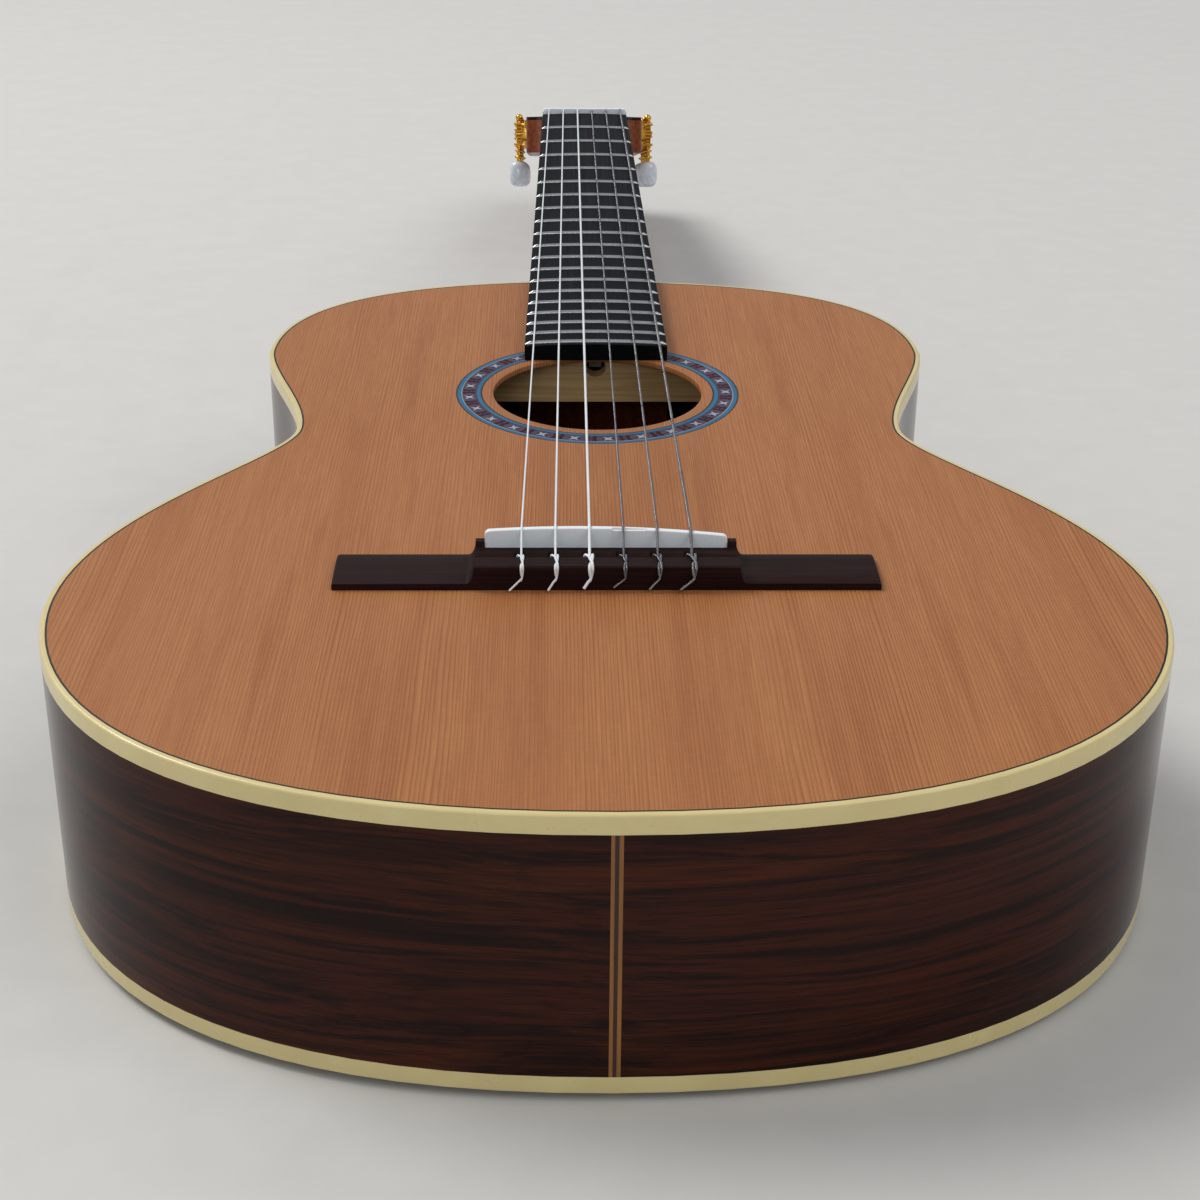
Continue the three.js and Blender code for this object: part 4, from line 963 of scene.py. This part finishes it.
def smooth_rows(rows, steps):
    """Rows of numbers with others between them, softened by their neighbours."""
    made = []
    for a, b in zip(rows, rows[1:]):
        made += [tuple(p + (q - p) * k / steps for p, q in zip(a, b)) for k in range(steps)]
    made.append(rows[-1])
    soft = [made[0]]
    for before, here, after in zip(made, made[1:], made[2:]):
        soft.append((here[0], *[(p + 2 * q + r) / 4
                                for p, q, r in zip(before[1:], here[1:], after[1:])]))
    return soft + [made[-1]]


def head_loop():
    """The head's outline: shoulders, straight sides and a crest of two lobes and a middle."""
    half, length, shoulder = HEAD_HALF, HEAD_LENGTH, HEAD_HALF - HEAD_CORNER
    right = [(NUT_HALF, 0)]
    right += bend([(NUT_HALF, 0), (NUT_HALF + 1, 10.5), (shoulder, HEAD_SHOULDER)], 8)
    right += bend([(shoulder, HEAD_SHOULDER), (half, 15), (half, 18.4)], 6)
    right += [(half, 160)] + bend([(half, 160), (half, length - 4), (CREST_HALF, length - 7)], 12)
    right += bend([(CREST_HALF, length - 7), (12, length - 8), (12, length - 4)], 6)
    right += bend([(12, length - 4), (6, length), (0, length)], 10)
    return right + [(-x, y) for x, y in reversed(right[:-1])]


def slot_loop(side):
    inner, outer, low, high = SLOT
    middle, radius = side * (inner + outer) / 2, (outer - inner) / 2
    far = arc(middle, high - radius, radius, 0, 180, 16)
    return far + arc(middle, low + radius, radius, 180, 360, 16)


def across_axis(shape, side, along, depth=AXIS_DEPTH):
    """A shape turned about z, laid with that axis across the head and pointing to one side."""
    return moved(shape, lambda p: in_head((side * p[2], along + p[1], -depth - side * p[0])))


def upright(shape, x, along):
    """A shape turned about z, stood on the head's own upright axis."""
    return moved(shape, lambda p: in_head((x + p[0], along + p[1], p[2])))


def head_block():
    slots = [slot_loop(side) for _, side in SIDES]
    slab = moved(extruded(head_loop(), slots, -HEAD_THICKNESS, -VENEER), in_head)
    wide = ROLLER_RADIUS + 0.3
    bore = turned([(0, 4.2), (wide, 4.2), (wide, 40), (0, 40)], 40)
    cuts = [across_axis(bore, side, along) for _, side in SIDES for along in ROLLER_PLACES]
    cuts.append(box(-60, 60, 600, HEAD_Y + 0.2, TOP_Z + 0.01, TOP_Z + 30))
    piece("head_block", carved(slab, cuts), "mahogany", bevel=0.35)
    veneer = moved(extruded(head_loop(), slots, -VENEER, 0), in_head)
    trimmed = carved(veneer, [box(-60, 60, 600, HEAD_Y + 0.05, 0, 200)])
    piece("head_face", trimmed, "rosewood_flat", ["head_veneer"], bevel=0.35)


def nut():
    """A rounded blank with a groove for each string."""
    y0, y1, end = SCALE_LENGTH, HEAD_Y, NUT_ROUNDING
    rows = []
    for i in range(41):
        x = NUT_HALF * (2 * i / 40 - 1)
        high = TOP_Z + NUT_HEIGHT - end * (1 - fullness(NUT_HALF - abs(x), end))
        top = [(y1, 2.6), (y1 - 0.3, 1.5), (y1 - 1.0, 0.7), (y1 - 2.0, 0.25), (y1 - 3.2, 0),
               (y0 + 0.5, 0), (y0 + 0.12, 0.14), (y0, 0.5)]
        rows.append([(x, y0, TOP_Z), (x, y1, TOP_Z)] + [(x, y, high - drop) for y, drop in top])
    grooves = []
    for i in STRINGS:
        wide = STRING_RADII[i] + 0.15
        ends = []
        for y, fall in ((SCALE_LENGTH - 2, 0), (HEAD_Y + 2, 1.2)):
            x, _, z = nut_point(i, y)
            section = arc(x, z - fall, wide, 180, 360, 10) + [(x + wide, z + 4), (x - wide, z + 4)]
            ends.append([(px, y, pz) for px, pz in section])
        grooves.append(skin(ends))
    piece("nut_blank", carved(skin(rows), grooves), "bone", ["nut"], sharp=45)


# ---- bridge and saddle

def string_x(i, spacing):
    return (i - 2.5) * spacing


def saddle_top(x):
    share = x / SADDLE_HALF
    return TOP_Z + SADDLE_HEIGHT - SADDLE_LEAN * share - SADDLE_CROWN * share**2


def nut_point(i, y):
    return Vector((string_x(i, NUT_SPACING), y, TOP_Z + NUT_HEIGHT - NUT_GROOVE + STRING_RADII[i]))


# The middle of the bridge from its tail side over the tie block, the shelf and the wall.
BRIDGE_PROFILE = [
    (BRIDGE_TAIL, TIE_HEIGHT - 0.5), (BRIDGE_TAIL + 0.5, TIE_HEIGHT),
    (TIE_FRONT - 0.4, TIE_HEIGHT), (TIE_FRONT, TIE_HEIGHT - 0.4), (TIE_FRONT + 0.05, 5.6),
    (TIE_FRONT + 0.8, 5.2), (-9.5, 5.3), (-7.4, 6.4), (-6, 7.1), (-3.2, SHELF_Z), (-2.2, 7.8),
    (-1.75, 9.3), (-1.5, WALL_Z), (1.2, WALL_Z), (2.4, 9.0), (3.1, 7.6), (BRIDGE_HEAD, 5.5),
]
# The cut under each string in front of its hole: y, height of its floor and half width.
STRING_RAMP = ((TIE_FRONT + 0.15, 3.9, 1.5), (-9.6, 4.0, 1.5), (-5.6, 6.0, 1.35), (-4.2, 7.4, 1.2))


def bridge():
    """A block with a tie block, a shelf and a saddle wall, and a low wing at each side."""
    wings = [wing_top(y) for y, _ in BRIDGE_PROFILE]
    stations = [(BLOCK_HALF + BLOCK_FILLET * (1 - c), 1 - s) for c, s in arc(0, 0, 1, 0, 90, 6)]
    # A share below 0 rounds the wing's end, as a share of the rounding's height.
    stations += [(BRIDGE_HALF - 1.2, 0), (BRIDGE_HALF - 0.35, -0.02), (BRIDGE_HALF, -0.07)]
    rows = []
    for side, order in ((-1, reversed(stations)), (1, stations)):
        for x, share in order:
            ring = [(y, low + (high - low if share >= 0 else 8) * share)
                    for (y, high), low in zip(BRIDGE_PROFILE, wings)]
            ring += [(BRIDGE_HEAD, 0), (BRIDGE_TAIL, 0)]
            rows.append([(side * x, y, TOP_Z + z) for y, z in ring])
    back, front, half = SADDLE_BACK - SLOT_GAP, SADDLE_FRONT + SLOT_GAP, SADDLE_HALF + SLOT_GAP
    slot = [(back, SLOT_FLOOR), (front, SLOT_FLOOR), (front, 20), (-3.3, 20), (-3.3, SHELF_Z),
            (back, SHELF_Z)]
    holes, ramps = [], []
    for i in STRINGS:
        x = string_x(i, SADDLE_SPACING)
        ends = [Vector((x, TIE_FRONT + 0.6, TOP_Z + TIE_ENTRY_Z + 0.2)),
                Vector((x, BRIDGE_TAIL - 1, TOP_Z + TIE_EXIT_Z - 0.35))]
        holes.append(tube(ends, STRING_RADII[i] + 0.35, 20))
        # A ramp reaches further to the side where the knot passes.
        ramps.append(skin([[(x - 1.9 * w, y, TOP_Z + low), (x + w, y, TOP_Z + low),
                            (x + w, y, TOP_Z + 12), (x - 1.9 * w, y, TOP_Z + 12)]
                           for y, low, w in STRING_RAMP]))
    shape = skin(rows)
    for cuts in ([across(slot, (-half, half), TOP_Z)], holes, ramps):
        shape = carved(shape, cuts)
    piece("bridge_body", shape, "bridge_wood", ["bridge"], bevel=0.18)


def wing_top(y):
    middle, half = (BRIDGE_TAIL + BRIDGE_HEAD) / 2, (BRIDGE_HEAD - BRIDGE_TAIL) / 2
    return WING_HEIGHT - 0.55 * ((y - middle) / half) ** 6


def saddle():
    rows = []
    for i in range(61):
        x = SADDLE_HALF * sin(pi / 2 * (i / 30 - 1))
        top = saddle_top(x) - SADDLE_CORNER * (1 - fullness(SADDLE_HALF - abs(x), SADDLE_CORNER))
        y0, y1, foot = SADDLE_BACK, SADDLE_FRONT, TOP_Z + 2.6
        rim = [(y1, 0.8), (y1 - 0.12, 0.35), (y1 - 0.4, 0.08), (y1 - 0.8, 0), (y0 + 0.7, 0),
               (y0 + 0.3, 0.1), (y0 + 0.08, 0.3), (y0, 0.7)]
        rows.append([(x, y0, foot), (x, y1, foot)] + [(x, y, top - drop) for y, drop in rim])
    x0, x1, deep = SADDLE_STEP
    high = TOP_Z + SADDLE_HEIGHT
    step = box(x0, x1, SADDLE_BACK - 1, SADDLE_BACK + deep, high - deep, high + 1)
    piece("saddle_blade", carved(skin(rows), [step]), "bone", ["saddle"], bevel=0.1)


fingerboard()
neck_shaft()
head_block()
nut()
bridge()
saddle()


# ---- strings

def machine_of(i):
    side, row = (-1, i) if i < 3 else (1, 5 - i)
    return side, ROLLER_PLACES[row], LANDINGS[row], WIND_SIDES[row]


def winding_point(i, turn):
    """A point of the string's turns on its roller; turn 0 is where it lands on top."""
    side, along, landing, wind = machine_of(i)
    r = STRING_RADII[i]
    x = landing + wind * max(0.0, turn) / (2 * pi) * TURN_PITCH * r
    reach = ROLLER_RADIUS + r + TURN_GAP
    return in_head((side * x, along + reach * sin(turn), reach * cos(turn) - AXIS_DEPTH))


def knot_path(i):
    """The tied end: out of the hole, up over the tie block twisted with its own return,
    once round the string in front, back down, and off to one side."""
    r = STRING_RADII[i]
    x = string_x(i, SADDLE_SPACING)
    rise, run = TIE_HEIGHT - TIE_EXIT_Z, TIE_FRONT - BRIDGE_TAIL

    def at(dx, y, z):
        return (x + dx, y, TOP_Z + z)

    def strand(share, phase):
        """Up the tail face and over the top, to one side of the other strand."""
        angle = phase + 2 * pi * KNOT_TWIST * (share - KNOT_OPEN)
        travel = share * (rise + run)
        lift = r * (1.05 + 0.95 * sin(angle))
        lean = min(1.0, max(0.0, (travel - rise + 1.2) / 2.4)) * pi / 2
        y = BRIDGE_TAIL + max(0.0, travel - rise) - lift * cos(lean)
        z = TIE_EXIT_Z + min(travel, rise) + lift * sin(lean)
        return at(0.35 + 1.05 * r * cos(angle), y, z)

    shares = [0.1, 0.22, 0.34, 0.45, 0.53, 0.62, 0.72, 0.82, 0.92]
    slope = (saddle_top(x) - TOP_Z - TIE_ENTRY_Z) / (SADDLE_BACK - TIE_FRONT)
    main = TIE_ENTRY_Z + slope * 1.5
    points = [at(0, BRIDGE_TAIL + 1.2, TIE_EXIT_Z + TIE_EXIT_RISE),
              at(0, BRIDGE_TAIL - 0.3 * r, TIE_EXIT_Z)]
    points += [strand(share, 0) for share in shares]
    points += [
        at(-2.3 * r - 0.3, TIE_FRONT + 0.5, TIE_HEIGHT + 0.9 * r),
        at(-2.2 * r - 0.5, TIE_FRONT + 1.3, main + 0.2),
        at(-0.3 * r, TIE_FRONT + 1.9, main - 2.0 * r),
        at(2.1 * r, TIE_FRONT + 1.2, main + 0.3),
        at(1.9 * r, TIE_FRONT + 0.1, TIE_HEIGHT + 1.3 * r),
    ]
    points += [strand(share, pi) for share in reversed(shares)]
    reach, fall = KNOT_TAILS[i]
    for share in (0.22, 0.5, 0.78, 1.0):
        y = BRIDGE_TAIL - 2.4 * r - 1.2 * share
        points.append(at(-0.3 - reach * share, y, TIE_EXIT_Z + 0.6 - fall * share))
    return smooth_path(points, 5)


def string_path(i):
    """From the roller over the nut and the saddle into the hole of the tie block."""
    x = string_x(i, SADDLE_SPACING)
    crown = saddle_top(x) + STRING_RADII[i]
    path = [winding_point(i, radians(a)) for a in STRING_END_ANGLES]
    path += [nut_point(i, y) for y in (HEAD_Y + 0.4, SCALE_LENGTH + 1, SCALE_LENGTH - 0.2)]
    path[len(STRING_END_ANGLES)].z -= NUT_DROP
    path += [Vector((x, y, crown + lift))
             for y, lift in ((0.7, -0.02), (-0.1, 0.03), (-0.8, -0.1), (-1.5, -0.6))]
    path.append(Vector((x, TIE_FRONT + 0.3, TOP_Z + TIE_ENTRY_Z)))
    path.append(Vector((x, BRIDGE_TAIL + 1.2, TOP_Z + TIE_EXIT_Z + TIE_EXIT_RISE)))
    return path


def cord(name, path, radius, finish, sides, nodes, body):
    """A string or a part of one, with its length kept as a coordinate for its winding."""
    runs = [0.0]
    for a, b in zip(path, path[1:]):
        runs.append(runs[-1] + (b - a).length)
    runs = [runs[0], *runs, runs[-1]]
    uvs = [(run * MM, k / sides * MM) for run in runs for k in range(sides)]
    piece(name, tube(path, radius, sides), finish, nodes, body, sharp=50, uvs=uvs)


def strings():
    for i in STRINGS:
        number = i + 1
        r = STRING_RADII[i]
        finish = "nylon" if i < 3 else "wound_silver"
        cord(f"string_{number}_span", string_path(i), r, finish, 14, [f"string_{number}"], GUITAR)
        cord(f"string_{number}_knot", knot_path(i), r, finish, 12, [], GUITAR)
        turns = WINDING_WIDTH / (TURN_PITCH * r)
        steps = int(turns * TURN_STEPS)
        path = [winding_point(i, 2 * pi * turns * k / steps) for k in range(steps + 1)]
        cord(f"winding_{number}_turns", path, r * 0.995, finish, 12, [f"winding_{number}"],
             f"spool_{number}")


strings()


# ---- tuning machines

def rounded_plate():
    """The outline of one side plate, with rounded corners."""
    low, high, deep, shallow, r = MACHINE_PLATE
    corners = [(high - r, shallow - r), (low + r, shallow - r), (low + r, deep + r),
               (high - r, deep + r)]
    loop = []
    for k, (x, y) in enumerate(corners):
        loop += arc(x, y, r, 90 * k, 90 * k + 90, 12)
    return loop


def slotted(profile, segments, slit_half, slit_floor):
    """A turned screw head with a slot across its top."""
    slit = box(-3, 3, -slit_half, slit_half, slit_floor, slit_floor + 2)
    return carved(turned(profile, segments), [slit])


def machine_plate(name, side):
    """A side plate with its screws and the ears that hold the worm shafts."""
    face = HEAD_HALF + PLATE_THICKNESS
    holes = [circle(along, -AXIS_DEPTH, BEARING_RADIUS) for along in ROLLER_PLACES]
    flat = extruded(rounded_plate(), holes, HEAD_HALF, face)
    shape = moved(flat, lambda p: in_head((side * p[2], p[0], p[1])))
    piece(f"{name}_plate", shape, "gold", [f"machine_plate_{name}"], bevel=0.2)
    tip = [(WORM_X + EAR_REACH * s, -EAR_HALF * c) for c, s in arc(0, 0, 1, 0, 180, 12)[1:-1]]
    loop = [(face - 0.1, -EAR_HALF), (WORM_X, -EAR_HALF), *tip, (WORM_X, EAR_HALF),
            (face - 0.1, EAR_HALF)]
    for order, along in enumerate(ROLLER_PLACES):
        for end, word in ((-1, "lower"), (1, "upper")):
            centre = -AXIS_DEPTH + EAR_OFFSET * end
            ear = extruded(loop, [circle(WORM_X, 0, BEARING_RADIUS)], centre - EAR_THICKNESS / 2,
                           centre + EAR_THICKNESS / 2)
            at = along + CENTRE_DISTANCE
            placed = moved(ear, lambda p: in_head((side * p[0], at + p[1], p[2])))
            piece(f"{name}_ear_{order + 1}_{word}", placed, "gold", bevel=0.2)
    profile = [(0, face - 0.3), (1.9, face - 0.3), (1.9, face + 0.25), (1.5, face + 0.7),
               (0.8, face + 0.95), (0, face + 1.0)]
    screw = slotted(profile, 24, 0.22, face + 0.55)
    for order, (along, depth) in enumerate(PLATE_SCREWS):
        placed = across_axis(screw, side, along, depth)
        piece(f"{name}_screw_{order + 1}", placed, "gold", sharp=30)


def gear_loop():
    loop = []
    tooth = [(r, -t) for r, t in TOOTH] + [(r, t) for r, t in reversed(TOOTH)]
    for k in range(GEAR_TEETH):
        middle = pi / 2 + (k + 0.5) * 2 * pi / GEAR_TEETH
        loop += [(r * cos(middle + t), r * sin(middle + t)) for r, t in tooth]
    return loop


def worm():
    """A right-hand thread round the z axis, centred on z = 0."""
    lead = 2 * pi * GEAR_PITCH / GEAR_TEETH
    length, steps, sides = lead * THREAD_TURNS, int(THREAD_TURNS * 20), 28
    rings = [[(0, 0, -length / 2)] * sides]
    for k in range(steps + 1):
        z = length * (k / steps - 0.5)
        ring = []
        for i, (c, s) in enumerate(circle(0, 0, 1, sides)):
            phase = (z / lead - i / sides) % 1
            crest = min(1.0, max(0.0, 1.55 - abs(phase - 0.5) * 6.2))
            radius = THREAD_ROOT + (THREAD_TIP - THREAD_ROOT) * crest
            ring.append((radius * c, radius * s, z))
        rings.append(ring)
    rings.append([(0, 0, length / 2)] * sides)
    return skin(rings)


def bead(z, radius, half):
    """Profile points of a rounded collar, from below to above."""
    return [(radius * 0.72, z - half), (radius * 0.93, z - half * 0.6), (radius, z),
            (radius * 0.93, z + half * 0.6), (radius * 0.72, z + half)]


def worm_shaft():
    """The turned shaft from its ball, past the worm, to the two collars above the button."""
    r = SHAFT_RADIUS
    profile = [(0, -35), (r, -35), (r, -25.3), (2.2, -25.2)]
    profile += bead(-24.3, 3.2, 0.8) + [(r, -23.3), (r, -21.2)] + bead(-20.3, 2.9, 0.75)
    profile += [(r, -19.4), (r, -18.6), (2.4, -18.2), (2.4, -17.6), (r, -17.3), (r, -2.6),
                (2.5, -2.5), (2.5, -1.9), (1.6, -1.6)]
    profile += arc(0, BALL_Z, BALL_RADIUS, -50, 90, 11)[1:-1] + [(0, BALL_Z + BALL_RADIUS)]
    return turned(profile, 32)


def button():
    """A barrel-shaped knob, flat across."""
    middle, half = (BUTTON_TOP + BUTTON_BOTTOM) / 2, (BUTTON_TOP - BUTTON_BOTTOM) / 2
    profile = [(0, BUTTON_BOTTOM)]
    for k in range(-11, 12):
        a = pi / 2 * k / 12
        rise = copysign(abs(sin(a)) ** BUTTON_POWER, a)
        profile.append((BUTTON_HALF * cos(a) ** BUTTON_POWER, middle + half * rise))
    return turned(profile + [(0, BUTTON_TOP)], 48, BUTTON_SQUASH)


def machines():
    for name, side in SIDES:
        machine_plate(name, side)
    start, radius, inner = ROLLER_START, ROLLER_RADIUS, WORM_X - 1
    outer = WORM_X + GEAR_HALF
    roller = turned([(0, start), (radius - 0.4, start), (radius, start + 0.4), (radius, 35.8),
                     (radius - 0.4, 36.2), (1.7, 36.2), (1.7, 38), (0, 38)], 40)
    teeth = extruded(gear_loop(), [], WORM_X - GEAR_HALF, outer)
    hub = turned([(0, 38), (3.2, 38), (3.2, inner), (0, inner)], 32)
    profile = [(0, outer - 0.4), (2.4, outer - 0.4), (2.4, outer + 0.5), (1.9, outer + 0.95),
               (0, outer + 1.1)]
    screw = slotted(profile, 28, 0.28, outer + 0.6)
    thread = moved(worm(), lambda p: (p[0], p[1], p[2] - AXIS_DEPTH))
    for i in STRINGS:
        side, along, _, _ = machine_of(i)
        n, spool, knob = i + 1, f"spool_{i + 1}", f"knob_{i + 1}"
        for name, shape, finish, nodes, edge in (
            (f"roller_{n}_tube", roller, "bone", [f"roller_{n}"], {"sharp": 35}),
            (f"gear_{n}_wheel", teeth, "gold", [f"gear_{n}"], {"bevel": 0.12}),
            (f"gear_{n}_hub", hub, "gold", [], {"bevel": 0.12}),
            (f"gear_{n}_screw", screw, "gold", [], {"sharp": 30}),
        ):
            piece(name, across_axis(shape, side, along), finish, nodes, spool, **edge)
        at = along + CENTRE_DISTANCE
        for name, shape, finish, nodes in (
            (f"shaft_{n}_rod", worm_shaft(), "gold", [f"worm_shaft_{n}"]),
            (f"shaft_{n}_worm", thread, "gold", []),
            (f"button_{n}_oval", button(), "pearl", [f"button_{n}"]),
        ):
            piece(name, upright(shape, side * WORM_X, at), finish, nodes, knob, sharp=50)


machines()


# ---- floor, light and camera

def lamp(kind, name, aim, strength, place=(0, 0, 0)):
    """A light from a place towards a direction."""
    data = bpy.data.lights.new(name, kind)
    data.energy = strength
    made = added(name, data)
    made.location = place
    made.rotation_euler = Vector(aim).to_track_quat("-Z", "Y").to_euler()
    return data


def soft_light(name, place, aim, size, power):
    data = lamp("AREA", name, Vector(aim) - Vector(place), power, place)
    data.shape = "RECTANGLE"
    data.size, data.size_y = size


def sun(name, aim, strength, spread):
    """Even light from one direction, soft at the edges of shadows by its spread in degrees."""
    lamp("SUN", name, aim, strength).angle = radians(spread)


def studio():
    half = FLOOR_HALF
    mesh = bpy.data.meshes.new("floor")
    corners = [(-half, -half, 0), (half, -half, 0), (half, half, 0), (-half, half, 0)]
    mesh.from_pydata(corners, [], [(0, 1, 2, 3)])
    mesh.materials.append(MATERIALS["floor"])
    added("floor", mesh)
    world = bpy.data.worlds.new("studio")
    world.use_nodes = True
    background = world.node_tree.nodes["Background"]
    background.inputs["Color"].default_value = (0.9, 0.92, 0.95, 1)
    background.inputs["Strength"].default_value = 0.42
    bpy.context.scene.world = world
    sun("sun_left", (0.75, -0.35, -1.0), 1.5, 24)
    sun("sun_right", (-0.8, 0.45, -1.1), 0.65, 40)
    soft_light("key", (-1.1, 0.9, 1.5), (0, -0.1, 0.1), (1.0, 0.7), 7)
    soft_light("front", (-0.5, -1.9, 0.9), (0, -0.45, 0.05), (0.9, 0.35), 3)
    bpy.context.scene.view_settings.view_transform = "Standard"


def camera():
    yaw, pitch, roll = CAMERA_TURN
    ahead = Vector((sin(yaw), cos(yaw), 0)) * cos(pitch)
    forward = ahead + Vector((0, 0, sin(pitch)))
    level = Vector((cos(yaw), -sin(yaw), 0))
    rise = level.cross(forward)
    right = level * cos(roll) + rise * sin(roll)
    up = rise * cos(roll) - level * sin(roll)
    data = bpy.data.cameras.new("camera")
    data.sensor_width = SENSOR_WIDTH
    data.lens = LENS
    data.clip_start = 0.02
    rig = added("camera", data)
    turn = Matrix((right, up, -forward)).transposed().to_4x4()
    rig.matrix_world = Matrix.Translation(to_frame(CAMERA_PLACE)) @ turn
    bpy.context.scene.camera = rig


studio()
camera()
